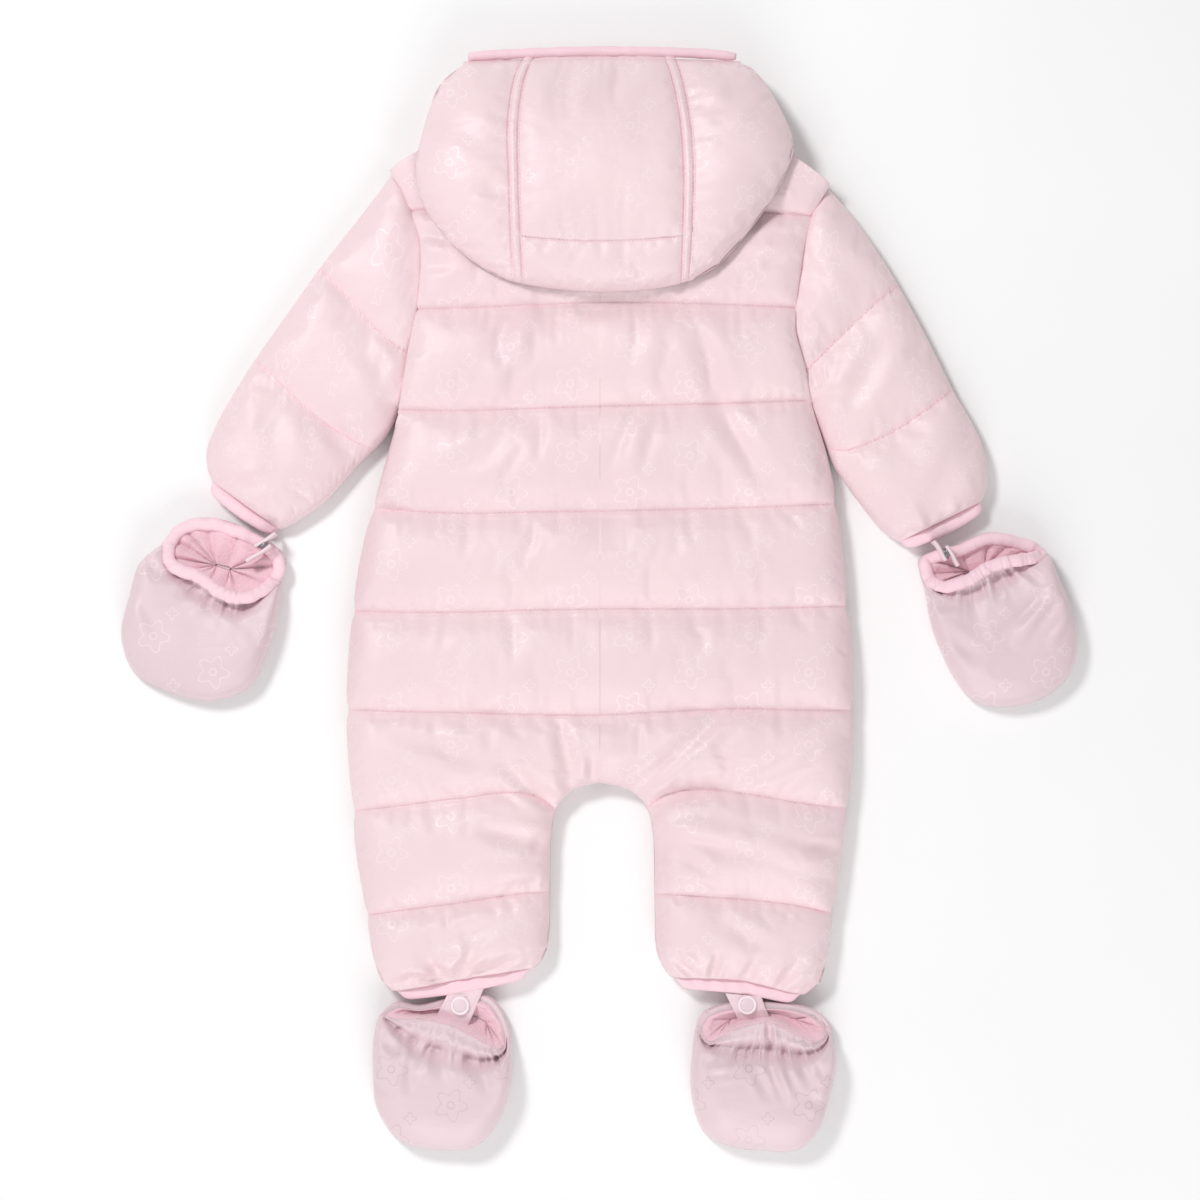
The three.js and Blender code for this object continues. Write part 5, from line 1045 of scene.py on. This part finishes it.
def add_pouch(kind, side):
    data = pouch(kind, side)
    name = data["name"]
    shell = ring_grid(data["shell"])
    around = np.linspace(0, 300, shell.shape[1])[None] + 0 * shell[..., 0]
    uv = np.stack([shell[..., 0], shell[..., 1]], -1)
    cloth = POUCH_SIZES[kind]["cloth"]
    shell_piece = make_grid(f"{name}_shell_cloth", shell, cloth, uv=uv,
                            replaces=[f"{name}_shell"], slot="quilted_satin")
    base = data["base"]
    foot = np.concatenate([shell[:1], np.broadcast_to([base[0], base[1], 0.0], shell[:1].shape)])
    lining = ring_grid(data["lining"])
    uv = np.stack([around[:1] + 0 * lining[..., 0], lining[..., 2]], -1)
    lining_piece = make_grid(f"{name}_lining_fleece", lining, FLEECE, uv=uv, inward=True,
                             replaces=[f"{name}_lining"], slot="fleece_lining")
    floor_piece = make_grid(f"{name}_sole", foot, cloth, slot="quilted_satin")
    return data


def tube(path, radius_out, radius_up, sides=12, closed=False, lift=None):
    """Ringed grid round a path of points; closed joins its ends."""
    path = np.asarray(path, float)
    ahead = np.roll(path, -1, 0) - np.roll(path, 1, 0) if closed else np.gradient(path, axis=0)
    ahead[:, 2] = 0
    ahead /= np.maximum(np.linalg.norm(ahead, axis=1, keepdims=True), 1e-6)
    across = np.stack([ahead[:, 1], -ahead[:, 0], 0 * ahead[:, 0]], -1)
    angle = np.linspace(0, 2 * np.pi, sides + 1)
    out, up = np.broadcast_to(radius_out, len(path)), np.broadcast_to(radius_up, len(path))
    grid = (path[:, None] + across[:, None] * (np.cos(angle)[None, :, None] * out[:, None, None])
            + np.array([0, 0, 1.0]) * (np.sin(angle)[None, :, None] * up[:, None, None]))
    if closed:
        grid = np.concatenate([grid, grid[:1]])
    return grid


def stitches(name, paths, surface, pitch=3.0, size=2.2, radius=0.26, sink=0.05):
    """Short threads along paths, laid on a surface found from straight above."""
    points, faces = [], []
    sides = 5
    for path in paths:
        path = np.asarray(path, float)[:, :2]
        step = np.linalg.norm(np.diff(path, axis=0), axis=1)
        total = np.concatenate([[0], np.cumsum(step)])
        for start in np.arange(pitch * 0.5, total[-1] - pitch * 0.5, pitch):
            ring_points = []
            for share, thin in ((0, 0.35), (0.2, 0.9), (0.5, 1.0), (0.8, 0.9), (1, 0.35)):
                s = start + share * size
                p = np.array([np.interp(s, total, path[:, 0]), np.interp(s, total, path[:, 1])])
                hit = surface.ray_cast(Vector((p[0], p[1], 120)), Vector((0, 0, -1)))
                if hit[0] is None:
                    break
                ring_points.append((p[0], p[1], hit[0][2] + radius * thin * 0.7 - sink, thin))
            if len(ring_points) < 5:
                continue
            centre = np.array([r[:3] for r in ring_points])
            ahead = centre[-1] - centre[0]
            ahead /= max(np.linalg.norm(ahead), 1e-6)
            across = np.cross(ahead, [0, 0, 1.0])
            across /= max(np.linalg.norm(across), 1e-6)
            up = np.cross(across, ahead)
            base = len(points)
            for (_, _, _, thin), c in zip(ring_points, centre):
                for j in range(sides):
                    angle = 2 * math.pi * j / sides
                    points.append(c + radius * thin * (math.cos(angle) * across + math.sin(angle) * up))
            for i in range(4):
                for j in range(sides):
                    k = (j + 1) % sides
                    a = base + i * sides
                    faces.append([a + j, a + k, a + sides + k, a + sides + j])
            faces.append([base + j for j in reversed(range(sides))])
            faces.append([base + 4 * sides + j for j in range(sides)])
    return make(name, np.array(points), faces, THREAD)


def surface_of(*grids):
    """Surface for finding heights, from grids in millimetres."""
    points, faces, count = [], [], 0
    for grid in grids:
        rows, columns = grid.shape[:2]
        points.append(grid.reshape(-1, 3))
        faces.append(grid_faces(rows, columns, count))
        count += rows * columns
    return BVHTree.FromPolygons(np.concatenate(points).tolist(), np.concatenate(faces).tolist())


# Assembly: the simulated sheets first

halves = body_sheet()
sleeves = {side: sleeve_piece(side) for side in ("left", "right")}
plans = hood_plans()
hood = {name: hood_panel(name, plan) for name, plan in plans.items()}
swelling = [(halves[0], body_pins(halves[0])), (halves[1], body_pins(halves[1]))]
swelling += [(sleeves[side][0], sleeves[side][3]) for side in ("left", "right")]
swelling += [hood[name] for name in hood if "band" not in name]
moves = inflate(swelling)


def join_middle(reach=13):
    """Carries the swelling smoothly across the middle, where both halves meet."""
    middle = np.abs(halves[0][:, -1, 0]) < 0.01
    ends = []
    for half, move in zip(halves, moves):
        x = half[middle, :, 0]
        at, before = -1 - reach, -6 - reach
        slope = (move[middle, at] - move[middle, before]) / (x[:, at] - x[:, before])[:, None]
        ends.append((x[:, at, None], move[middle, at].copy(), slope))
    (x0, m0, s0), (x1, m1, s1) = ends
    span = x1 - x0
    for half, move in zip(halves, moves):
        for column in range(-reach, 0):
            t = (half[middle, column, 0, None] - x0) / span
            t2, t3 = t * t, t * t * t
            move[middle, column] = ((2 * t3 - 3 * t2 + 1) * m0 + (t3 - 2 * t2 + t) * s0 * span
                                    + (3 * t2 - 2 * t3) * m1 + (t3 - t2) * s1 * span)
    moves[1][middle, -1] = moves[0][middle, -1]


join_middle()
grids = [grid + move for (grid, _), move in zip(swelling, moves)]

# Back
left, right = grids[0], grids[1]
seam_left, seam_right = (seam_mask(g[..., 0], g[..., 1], BODY_TRACES) for g in (left, right))
body_surface = surface_of(left, right)


def skirted(grid, values, low, inset, sides):
    """Grid with its folded-under rim, and its per-point values carried on to it."""
    full = edge_skirt(grid, low, inset, sides)
    for key, axis, at in (("first", 0, 0), ("last", 0, -1), ("left", 1, 0), ("right", 1, -1)):
        if key in sides:
            edge = np.take(values, [at, at], axis)
            parts = [edge, values] if at == 0 else [values, edge]
            values = np.concatenate(parts, axis)
    return full, values


def back_half(grid, seam):
    crotch = np.abs(grid[:, -1, 0]) > 0.01
    skirt, seam = skirted(grid, seam, BACK_BOTTOM, 4.0, ("first", "last", "left"))
    inner = skirt[:, -1:]
    turned = inner.copy()
    turned[..., 2] = BACK_BOTTOM
    turned[..., 0] += np.where(np.abs(inner[..., 0]) > 0.01, np.sign(inner[..., 0]) * 4, 0)
    middle = inner.copy()
    middle[..., 2] = (inner[..., 2] + BACK_BOTTOM) / 2
    legs = np.concatenate([[False, False], crotch, [False, False]])
    middle[~legs], turned[~legs] = inner[~legs], inner[~legs]
    grid = np.concatenate([skirt, middle, turned], 1)
    return grid, np.concatenate([seam, seam[:, -1:], seam[:, -1:]], 1)


pieces, seams = [], []
for half, seam in ((left, seam_left), (right, seam_right)):
    grid, values = back_half(half, seam)
    pieces.append(grid)
    seams.append(values)
points = np.concatenate([g.reshape(-1, 3) for g in pieces])
count = pieces[0].shape[0] * pieces[0].shape[1]
faces = np.concatenate([
    grid_faces(*pieces[0].shape[:2]), grid_faces(*pieces[1].shape[:2], count)])
back = make("back_quilt", points, faces, SATIN, replaces=["back"], slot="quilted_satin",
            seam=np.concatenate([s.ravel() for s in seams]))

# Fronts, seen from below
FRONT_LINES = BODY_LINES[:-1] + [FRONT_NECK]
for side in ("left", "right"):
    x, y = body_half(side, FRONT_LINES, 20, 33, 5.6)
    x = np.where(np.abs(x) > 8, scallop(x, y), x)
    edge = quarter_round(nearest(x, y, FREE_EDGES), 9)
    gathers = puckers(x, y, BODY_TRACES, 200, 0.6, 10, 7)
    z = np.clip(front_bottom(x, y) + np.abs(gathers) * edge, 0, FRONT_THICKNESS - EDGE)
    grid = np.stack([x, y, z], -1)
    seam = seam_mask(x, y, BODY_TRACES, 1.6)
    grid, seam = skirted(grid, seam, FRONT_THICKNESS, 3.0, ("first", "last", "left", "right"))
    front = make_grid(f"front_{side}_quilt", grid, SATIN, seam=seam,
                      replaces=[f"front_{side}"], slot="quilted_satin")

# Sleeves
sleeve_surfaces = {}
for k, side in enumerate(("left", "right")):
    upper, lower, lines, held, uv = sleeves[side]
    upper = grids[2 + k]
    sleeve_surfaces[side] = surface_of(upper)
    inner_lower = lower[:, 1:-1][:, ::-1]
    ring = np.concatenate([upper, inner_lower, upper[:, :1]], 1)
    seam = seam_mask(ring[..., 0], ring[..., 1], lines)
    ring_uv = np.concatenate([uv, uv[:, 1:-1][:, ::-1], uv[:, :1]], 1)
    closed_first, closed_last = ring[:1].copy(), ring[-1:].copy()
    for end in (closed_first, closed_last):
        end[..., 2] = lerp(end[..., 2], SLEEVE_MIDDLE + 0.4, 0.9)
    ring = np.concatenate([closed_first, ring, closed_last])
    seam = np.concatenate([seam[:1], seam, seam[-1:]])
    ring_uv = np.concatenate([ring_uv[:1], ring_uv, ring_uv[-1:]])
    sleeve = make_grid(f"sleeve_{side}_quilt", ring, SATIN, uv=ring_uv, seam=seam,
                       replaces=[f"sleeve_{side}"], slot="quilted_satin")


def flat_ring(name, first, last, middle_z, puff, low_edge, top_edge, replaces):
    """Gathered binding between two rows of plan points, as a flattened open tube."""
    count = len(first)
    s = np.linspace(0, 1, count)
    size = np.linalg.norm(first[-1] - first[0])
    round_off = quarter_round(np.minimum(s, 1 - s) * size, 11)
    ripple = 0.45 * noise1(s * size, 5.0, 900 + len(name)) + 0.3 * noise1(s * size, 2.8, 930)
    rows = []
    for q, swell in ((0.0, 0.05), (0.1, 0.45), (0.22, 0.85), (0.38, 1.0), (0.55, 1.02), (0.72, 1.0), (0.9, 0.86), (1.0, 0.5)):
        plan = first + (last - first) * q
        top = top_edge + (puff * swell + ripple * swell) * round_off
        under = low_edge * (1 - round_off) + (1 - swell) * 2.2 * round_off
        rows.append(np.concatenate([np.column_stack([plan, top]), np.column_stack([plan, under])[::-1]]))
    for q, share in ((0.97, 0.05), (0.8, 0.07), (0.3, 0.08)):
        plan = (first + (last - first) * q)
        at = lerp(share, 1 - share, s) * (count - 1)
        plan = np.stack([np.interp(at, np.arange(count), plan[:, 0]), np.interp(at, np.arange(count), plan[:, 1])], -1)
        gap = 0.7 * round_off + 0.2
        rows.append(np.concatenate([np.column_stack([plan, middle_z + gap]),
                                    np.column_stack([plan, middle_z - gap])[::-1]]))
    grid = np.stack(rows)
    grid = np.concatenate([grid, grid[:, :1]], 1)
    around = np.concatenate([s * size, s[::-1] * size, [0]])
    uv = np.stack([np.broadcast_to(around, grid.shape[:2]),
                   np.broadcast_to(np.linspace(0, 14, len(rows))[:, None], grid.shape[:2])], -1)
    return make_grid(name, grid, BINDING, uv=uv, replaces=replaces, slot="elastic_binding")


def rounded_end(s, size):
    """Share of a binding's width, less towards both of its ends."""
    return lerp(0.45, 1, quarter_round(np.minimum(s, 1 - s) * size, 8))


def cuff_rows(side, count=61):
    data = SLEEVES[side]
    outer, inner = np.array(data["outer"][-2:], float), np.array(data["inner"][-1], float)
    s = np.linspace(0, 1, count)[:, None]
    last = outer[1] + (inner - outer[1]) * s
    across = (inner - outer[1]) / np.linalg.norm(inner - outer[1])
    normal = np.array([across[1], -across[0]])
    normal *= np.sign(normal @ (outer[1] - outer[0]))
    bow, tuck = 4 * s * (1 - s) * 2.4, (0.5 - s) * 2 * 1.6
    width = (BINDING_WIDTH + bow) * rounded_end(s, np.linalg.norm(inner - outer[1]))
    return last - normal * 1.6, last + normal * width + across * tuck


def hem_rows(side, count=61):
    outer, inner, _ = half_rows(side, BODY_LINES, 1, 0.0)
    s = np.linspace(0, 1, count)
    rows = []
    for k, reach in ((0, -1.6), (2, BINDING_WIDTH)):
        x = lerp(outer[0], inner[0], s) + (0.5 - s) * 2 * np.sign(inner[0] - outer[0]) * 6 * (k / 2)
        low = reach + 4 * s * (1 - s) * 2.4 * (k / 2)
        low = low * rounded_end(s, abs(inner[0] - outer[0])) if k else low
        y = line_height(HEM_LINE, x) - low
        rows.append(np.stack([x, y], -1))
    return rows


for side in ("left", "right"):
    first, last = cuff_rows(side)
    cuff = flat_ring(f"cuff_{side}_band", first, last, 8.4, 5.4, 6.6, 9.4, [f"cuff_binding_{side}"])
    first, last = hem_rows(side)
    hem = flat_ring(f"hem_{side}_band", first, last, 11.15, 3.4, 8.4, 13.9, [f"hem_binding_{side}"])

# Hood
names = [name for name in hood if "band" not in name]
panels = {name: grids[4 + k] for k, name in enumerate(names)}
panels.update({name: hood[name][0] for name in hood if "band" in name})
for name, grid in panels.items():
    under = hood_underside(grid[..., 0], grid[..., 1])
    rim = np.zeros(grid.shape[:2])
    full, rim = skirted(grid, rim, 0.0, 1.5, ("first", "last", "left", "right"))
    low = hood_underside(full[..., 0], full[..., 1])
    full[..., 2] = np.where(full[..., 2] < low, low, full[..., 2])
    panel = make_grid(f"{name}_cloth", full, SATIN, replaces=[name], slot="quilted_satin")
hood_surface = surface_of(*panels.values())

rim = closed_curve(HOOD_RIM, 160)
centre = np.array([2.0, 276.0])
drop = lerp(8.0, 3.0, np.clip((rim[:, 1:] - 280) / 40, 0, 1))
inset = rim + (centre - rim) * (drop / np.linalg.norm(rim - centre, axis=1, keepdims=True))
inside = (cover_height(inset[:, 0], inset[:, 1]) > 0)
rings = []
for share, lift in ((0.9, 0.0), (0.965, 0.6), (0.99, 3.0), (1.0, 8.0), (1.0, 16.0), (0.995, 24.0)):
    plan = centre + (inset - centre) * share
    ceiling = hood_underside(plan[:, 0], plan[:, 1]) + 2
    z = np.where(inside, 13.0 + 0.3 * lift, lift)
    wave = 1.2 * noise1(np.linspace(0, 60, 160), 3.2, 950) * min(lift / 8, 1)
    outward = (plan - centre) / np.linalg.norm(plan - centre, axis=1, keepdims=True)
    plan = plan - outward * np.abs(wave)[:, None]
    rings.append(np.column_stack([plan, np.minimum(z, ceiling)]))
for share in (0.985, 0.95, 0.8, 0.5):
    plan = centre + (inset - centre) * share
    rings.append(np.column_stack([plan, hood_underside(plan[:, 0], plan[:, 1]) + 1.5]))
low = np.broadcast_to([centre[0], centre[1], 13.0], (160, 3))
blob = ring_grid(np.stack([low] + rings))
blob[0, :, 2] = 13.0
under = make_grid("hood_under_cloth", blob, SATIN, replaces=["hood_under"], slot="quilted_satin")

x = np.linspace(-84.5, 87.2, 91)
path = np.column_stack([x, line_at(HOOD_TOP, x) + 3.7, hood_underside(x, line_at(HOOD_TOP, x)) + 2.4])
taper = np.minimum(1, 0.62 + 0.38 * np.sqrt(quarter_round(np.minimum(x + 84.5, 87.2 - x), 24)))
wave = 0.25 * noise1(x, 5.0, 960)
grid = tube(path, 3.3 * taper + wave, 3.6 * taper + wave, 16)
grid = np.concatenate([np.broadcast_to(path[0], grid[:1].shape), grid, np.broadcast_to(path[-1], grid[:1].shape)])
uv = np.stack([np.broadcast_to(np.linspace(0, 172, len(grid))[:, None], grid.shape[:2]),
               np.broadcast_to(np.linspace(0, 22, grid.shape[1]), grid.shape[:2])], -1)
face_band = make_grid("hood_face_band", grid, BINDING, uv=uv, replaces=["hood_binding"], slot="elastic_binding")

# Mittens and booties
pouches = {}
for kind in ("mitten", "bootie"):
    for side in ("left", "right"):
        pouches[f"{kind}_{side}"] = add_pouch(kind, side)
for side in ("left", "right"):
    data = pouches[f"mitten_{side}"]
    middle = point_on(data["axis"], 0.5)
    out = (data["mouth"] - middle) / np.linalg.norm(data["mouth"] - middle, axis=1, keepdims=True)
    wave = 0.3 * data["gather"]
    sway = 0.7 * np.roll(data["gather"], 9)
    path = np.column_stack([data["mouth"] - out * (1.0 + 0.5 * sway)[:, None], data["lip"] + 3.2 + wave])
    grid = tube(path, 4.0 + 0.15 * data["gather"], 2.7, 16, closed=True)
    uv = np.stack([np.broadcast_to(np.linspace(0, 190, len(grid))[:, None], grid.shape[:2]),
                   np.broadcast_to(np.linspace(0, 18, grid.shape[1]), grid.shape[:2])], -1)
    rim_band = make_grid(f"mitten_{side}_rim_band", grid, BINDING, uv=uv,
                         replaces=[f"mitten_{side}_rim"], slot="elastic_binding")


# Straps, snaps and tabs

def slab(name, lower, upper, material, uv=None, **rest):
    """Thin closed sheet between two grids of equal size."""
    rows, columns = lower.shape[:2]
    ring = np.concatenate([upper, lower[:, ::-1], upper[:, :1]], 1)
    first, last = ring[:1].copy(), ring[-1:].copy()
    for end in (first, last):
        end[:] = (end + np.concatenate([lower[:1] if end is first else lower[-1:],
                                        (upper[:1] if end is first else upper[-1:])[:, ::-1],
                                        lower[:1, :1] if end is first else lower[-1:, :1]], 1)) / 2
    grid = np.concatenate([first, ring, last])
    uv = np.stack([np.broadcast_to(np.linspace(0, rows, len(grid))[:, None], grid.shape[:2]),
                   np.broadcast_to(np.linspace(0, columns, grid.shape[1]), grid.shape[:2])], -1)
    return make_grid(name, grid, material, uv=uv, **rest)


def lathe(profile, place, axis_up, axis_side, sides=40):
    """Turned form from radius and height pairs, about a given direction."""
    up = np.array(axis_up, float) / np.linalg.norm(axis_up)
    side = np.array(axis_side, float) - np.dot(axis_side, up) * up
    side /= np.linalg.norm(side)
    other = np.cross(up, side)
    angle = np.linspace(0, 2 * np.pi, sides + 1)
    circle = np.cos(angle)[:, None] * side + np.sin(angle)[:, None] * other
    return np.stack([np.array(place) + r * circle + h * up for r, h in profile])


def tucked(s):
    """How far a strap's end runs on, down into its bootie."""
    return 0.4 * smooth(s, 0.7, 1.0)


for side in ("left", "right"):
    strap = BOOTIE_STRAPS[side]
    a, b, c, d = (np.array(p, float) for p in strap["corners"])
    s, t = np.meshgrid(np.linspace(0, 1, 33), np.linspace(0, 1, 41), indexing="ij")
    plan = (a + (d - a) * s[..., None]) * (1 - t[..., None]) + (b + (c - b) * s[..., None]) * t[..., None]
    low, high = strap["heights"]
    ribs = 0.16 * np.sin(s * 2 * np.pi * 7) * smooth(np.minimum(t, 1 - t), 0.05, 0.14)
    rim_drop = 0.55 * (1 - smooth(np.minimum(t, 1 - t), 0.0, 0.07))
    topstitch = 0.25 * np.exp(-((np.minimum(t, 1 - t) - 0.1) / 0.02) ** 2)
    crown = 0.5 * np.sin(np.pi * t)
    z = lerp(low, high, s)
    plan, z = plan + tucked(s)[..., None] * (d + c - a - b) / 2, z - 16 * tucked(s) ** 1.2
    upper = np.concatenate([plan, (z + 1.6 + ribs + crown * 0.3 - rim_drop - topstitch)[..., None]], -1)
    lower = np.concatenate([plan, z[..., None]], -1)
    piece = slab(f"bootie_{side}_strap_cloth", lower, upper, STRAP,
                 replaces=[f"bootie_{side}_strap"], slot="strap_satin")
    for k, edge in enumerate((0.1, 0.9)):
        line = plan[2:-2, int(round(edge * 40))]
        stitches(f"bootie_{side}_strap_stitch_{k}", [line], surface_of(upper), 2.2, 1.5, 0.16)
    ahead = np.append((d + c - a - b) / 2, high - low)
    place = strap["snap"]
    at = np.dot(np.array(place) - (a + b) / 2, ahead[:2]) / np.dot(ahead[:2], ahead[:2])
    centre3 = (place[0], place[1], lerp(low, high, at) + 2.0)
    across = np.append(b - a, 0)
    up = np.cross(across, ahead)
    up = up * np.sign(up[2])
    ring = [(5.3, 0.0), (5.9, 0.25), (6.1, 0.75), (5.95, 1.2), (5.5, 1.55), (4.9, 1.6), (4.5, 1.4), (4.3, 1.0), (4.25, 0.7)]
    snap = make_grid(f"bootie_{side}_snap_ring", lathe(ring, centre3, up, across), RING,
                     replaces=[f"bootie_{side}_snap"], slot="snap_plastic")
    disc = [(4.3, 0.72), (4.0, 0.9), (3.0, 0.98), (1.5, 1.02), (0.01, 1.04)]
    make_grid(f"bootie_{side}_snap_disc", lathe(disc, centre3, up, across), DISC, slot="snap_plastic")

TAB_FLOOR, TAB_HEIGHT = 16.8, 9.6


def upright(name, start, end, offset, foot, replaces):
    """A strap end that stands on its edge."""
    start, end = np.array(start, float), np.array(end, float)
    size = np.linalg.norm(end - start)
    ahead = (end - start) / size
    normal = np.array([-ahead[1], ahead[0]])
    t = np.linspace(0, 1, 41)
    v = np.linspace(0, 1, 17)
    floor = TAB_FLOOR - (TAB_FLOOR - 7.5) * (1 - smooth(t, 0.0, 0.32)) * foot
    z = lerp(floor[:, None], TAB_FLOOR + TAB_HEIGHT, v[None])
    bend = 0.35 * np.sin(t * 5.0)[:, None] + 0.1 * np.sin(v * 60)[None]
    rims = 0.45 * (1 - smooth(np.minimum(v, 1 - v), 0, 0.12))[None] + 0 * z
    grids_out = []
    for by in (offset - 0.4 + bend + rims, offset + 2.0 + bend - rims):
        plan = (start + ahead * size * t[:, None])[:, None] + normal * by[..., None]
        grids_out.append(np.concatenate([plan, z[..., None]], -1))
    piece = slab(name, grids_out[0], grids_out[1], STRAP, replaces=replaces, slot="strap_satin")
    return piece


for side in ("left", "right"):
    strap = MITTEN_STRAPS[side]
    suit_end, middle, far_end = (np.array(strap[k], float) for k in ("suitEnd", "middle", "farEnd"))
    beyond = lerp(middle, far_end, 0.35)
    before = lerp(middle, suit_end, 0.35)
    upright(f"mitten_{side}_strap_cloth", suit_end, beyond, 0.0, 1.0, [f"mitten_{side}_strap"])
    upright(f"mitten_{side}_tab_cloth", before, far_end, 4.8, 0.0, [f"mitten_{side}_tab"])
    ahead = (far_end - suit_end) / np.linalg.norm(far_end - suit_end)
    normal = np.array([-ahead[1], ahead[0], 0])
    place = np.append(middle + normal[:2] * 1.9, TAB_FLOOR + TAB_HEIGHT / 2)
    body = [(0.01, 0.0), (3.6, 0.0), (4.3, 0.25), (4.4, 0.7), (4.2, 1.05), (3.2, 1.2), (3.0, 1.5),
            (3.2, 2.0), (3.1, 2.5), (2.6, 2.6), (0.01, 2.6)]
    make_grid(f"mitten_{side}_snap_steel", lathe(body, place, normal, (0, 0, 1)), METAL,
              replaces=[f"mitten_{side}_snap"], slot="steel")

# Zip on the underside
def block(name, boxes, material, body=SUIT, **rest):
    points, faces = [], []
    for (x0, x1), (y0, y1), (z0, z1) in boxes:
        base = len(points)
        points += [(x, y, z) for x in (x0, x1) for y in (y0, y1) for z in (z0, z1)]
        faces += [[base + k for k in f] for f in
                  ((0, 1, 3, 2), (4, 6, 7, 5), (0, 4, 5, 1), (2, 3, 7, 6), (0, 2, 6, 4), (1, 5, 7, 3))]
    return make(name, np.array(points, float), [tuple(f) for f in faces], material, body=body, **rest)


ZIP_FROM, ZIP_TO, SLIDER_Y, PIN_Z = -106.0, 258.0, 236.0, 1.65
TAPE_END = 10.5
block("zip_tape", [((-5.3, 5.3), (ZIP_FROM - TAPE_END, ZIP_TO), (6.6, 8.2))], ZIP,
      replaces=["zip_chain"], slot="zip_tape")
teeth = []
for k, y in enumerate(np.arange(ZIP_FROM + 2, ZIP_TO - 2, 1.4)):
    low, high = (-2.6, 0.5) if k % 2 else (-0.5, 2.6)
    teeth.append(((low, high), (y, y + 1.1), (5.4, 6.9)))
block("zip_teeth", teeth, plain("zip_teeth", srgb(238, 190, 205), 0.35), slot="zip_tape")


def rounded(name, boxes, material, bevel, body=SUIT, **rest):
    piece = block(name, boxes, material, body, **rest)
    modifier = piece.modifiers.new("round", "BEVEL")
    modifier.width, modifier.segments = bevel * MM, 3
    return piece


cheeks = [((sign * 3.6 - 0.7, sign * 3.6 + 0.7), (SLIDER_Y - 2, SLIDER_Y + 2), (1.0, 3.4)) for sign in (-1, 1)]
rounded("zip_slider_body", [((-4.5, 4.5), (SLIDER_Y - 5.5, SLIDER_Y + 5.5), (3.2, 5.1))] + cheeks,
        METAL, 0.35, replaces=["zip_slider"], slot="steel")


def rod(name, radius, half, material, body):
    profile = [(0.01, -half), (radius, -half), (radius, half), (0.01, half)]
    return make_grid(name, lathe(profile, (0, SLIDER_Y, PIN_Z), (1, 0, 0), (0, 0, 1), 24), material,
                     slot="steel", body=body)


rod("zip_pin", 0.45, 3.7, METAL, SUIT)
rounded("zip_pull_tongue", [((-2.5, 2.5), (SLIDER_Y - 22.5, SLIDER_Y - 1.0), (0.9, 2.2)),
                            ((-1.9, 1.9), (SLIDER_Y - 24.0, SLIDER_Y - 22.5), (0.9, 2.2))],
        METAL, 0.3, "pull", replaces=["zip_pull"], slot="steel")
eye = [(0.75, -2.5), (1.3, -2.5), (1.3, 2.5), (0.75, 2.5), (0.75, -2.5)]
make_grid("zip_pull_eye", lathe(eye, (0, SLIDER_Y, PIN_Z), (1, 0, 0), (0, 0, 1), 24), METAL,
          slot="steel", body="pull")

# Sewing
line_paths = [np.array([p for p in trace]) for trace in BODY_TRACES]
body_paths = []
for path in line_paths:
    y = path[:, 1]
    keep = (path[:, 0] > side_edge("left", y) + 2) & (path[:, 0] < side_edge("right", y) - 2)
    gap = (y < CROTCH_TOP)
    leg = along(LEGS[:, 0], LEGS[:, 2], np.minimum(y, CROTCH_TOP))
    parts = [path[keep]] if not gap.any() else [path[keep & (path[:, 0] < -leg - 1)], path[keep & (path[:, 0] > leg + 1)]]
    body_paths += [p for p in parts if len(p) > 1]
stitches("back_stitches", body_paths, body_surface, 3.0, 2.3, 0.3)
for side in ("left", "right"):
    stitches(f"sleeve_{side}_stitches", sleeves[side][2], sleeve_surfaces[side], 3.0, 2.3, 0.3)
hood_paths = []
for column in (1, 2, 3, 4):
    off = 1.1 if column in (2, 4) else -1.1
    y = np.linspace(343, 202, 48)
    hood_paths.append(np.stack([seam_at(column, y) + off, y], -1))
    hood_paths.append(np.stack([seam_at(column, y) - off, y], -1))
x = np.linspace(-49, 50, 30)
hood_paths.append(np.stack([x, line_at(HOOD_CROSS, x) - 1.2], -1))
stitches("hood_stitches", hood_paths, hood_surface, 2.6, 1.9, 0.24)

for side in ("left", "right"):
    data = pouches[f"bootie_{side}"]
    stitches(f"bootie_{side}_hem_stitches", [data["hem"]], surface_of(data["shell"]), 2.4, 1.6, 0.18)

# Floor, camera and light
floor = bpy.data.objects.new("floor", bpy.data.meshes.new("floor"))
floor.data.from_pydata([(-4, -4, -0.0006), (4, -4, -0.0006), (4, 4, -0.0006), (-4, 4, -0.0006)], [], [(0, 1, 2, 3)])
floor.data.materials.append(plain("floor", srgb(252, 252, 252), 0.9, 0.0, 3.0, 0.0))
bpy.context.scene.collection.objects.link(floor)

camera = bpy.data.objects.new("camera", bpy.data.cameras.new("camera"))
bpy.context.scene.collection.objects.link(camera)
camera.data.lens, camera.data.sensor_width = 100, 36
camera.location = (0, 0, 0.768 * 100 / 36 + 0.02)
bpy.context.scene.camera = camera


def area_light(name, place, size, power, colour=(1, 1, 1)):
    light = bpy.data.lights.new(name, "AREA")
    light.shape, light.size, light.energy, light.color = "DISK", size, power, colour
    lamp = bpy.data.objects.new(name, light)
    lamp.location = place
    lamp.rotation_euler = (Vector((0, 0, 0)) - Vector(place)).to_track_quat("-Z", "Y").to_euler()
    bpy.context.scene.collection.objects.link(lamp)


area_light("key", (-0.85, 0.95, 1.8), 0.45, 21.5)
area_light("front", (0.2, -1.9, 1.1), 1.5, 19)
world = bpy.data.worlds.new("studio")
world.use_nodes = True
world.node_tree.nodes["Background"].inputs[0].default_value = (1, 1, 1, 1)
world.node_tree.nodes["Background"].inputs[1].default_value = 0.52
bpy.context.scene.world = world
bpy.context.scene.view_settings.view_transform = "Standard"
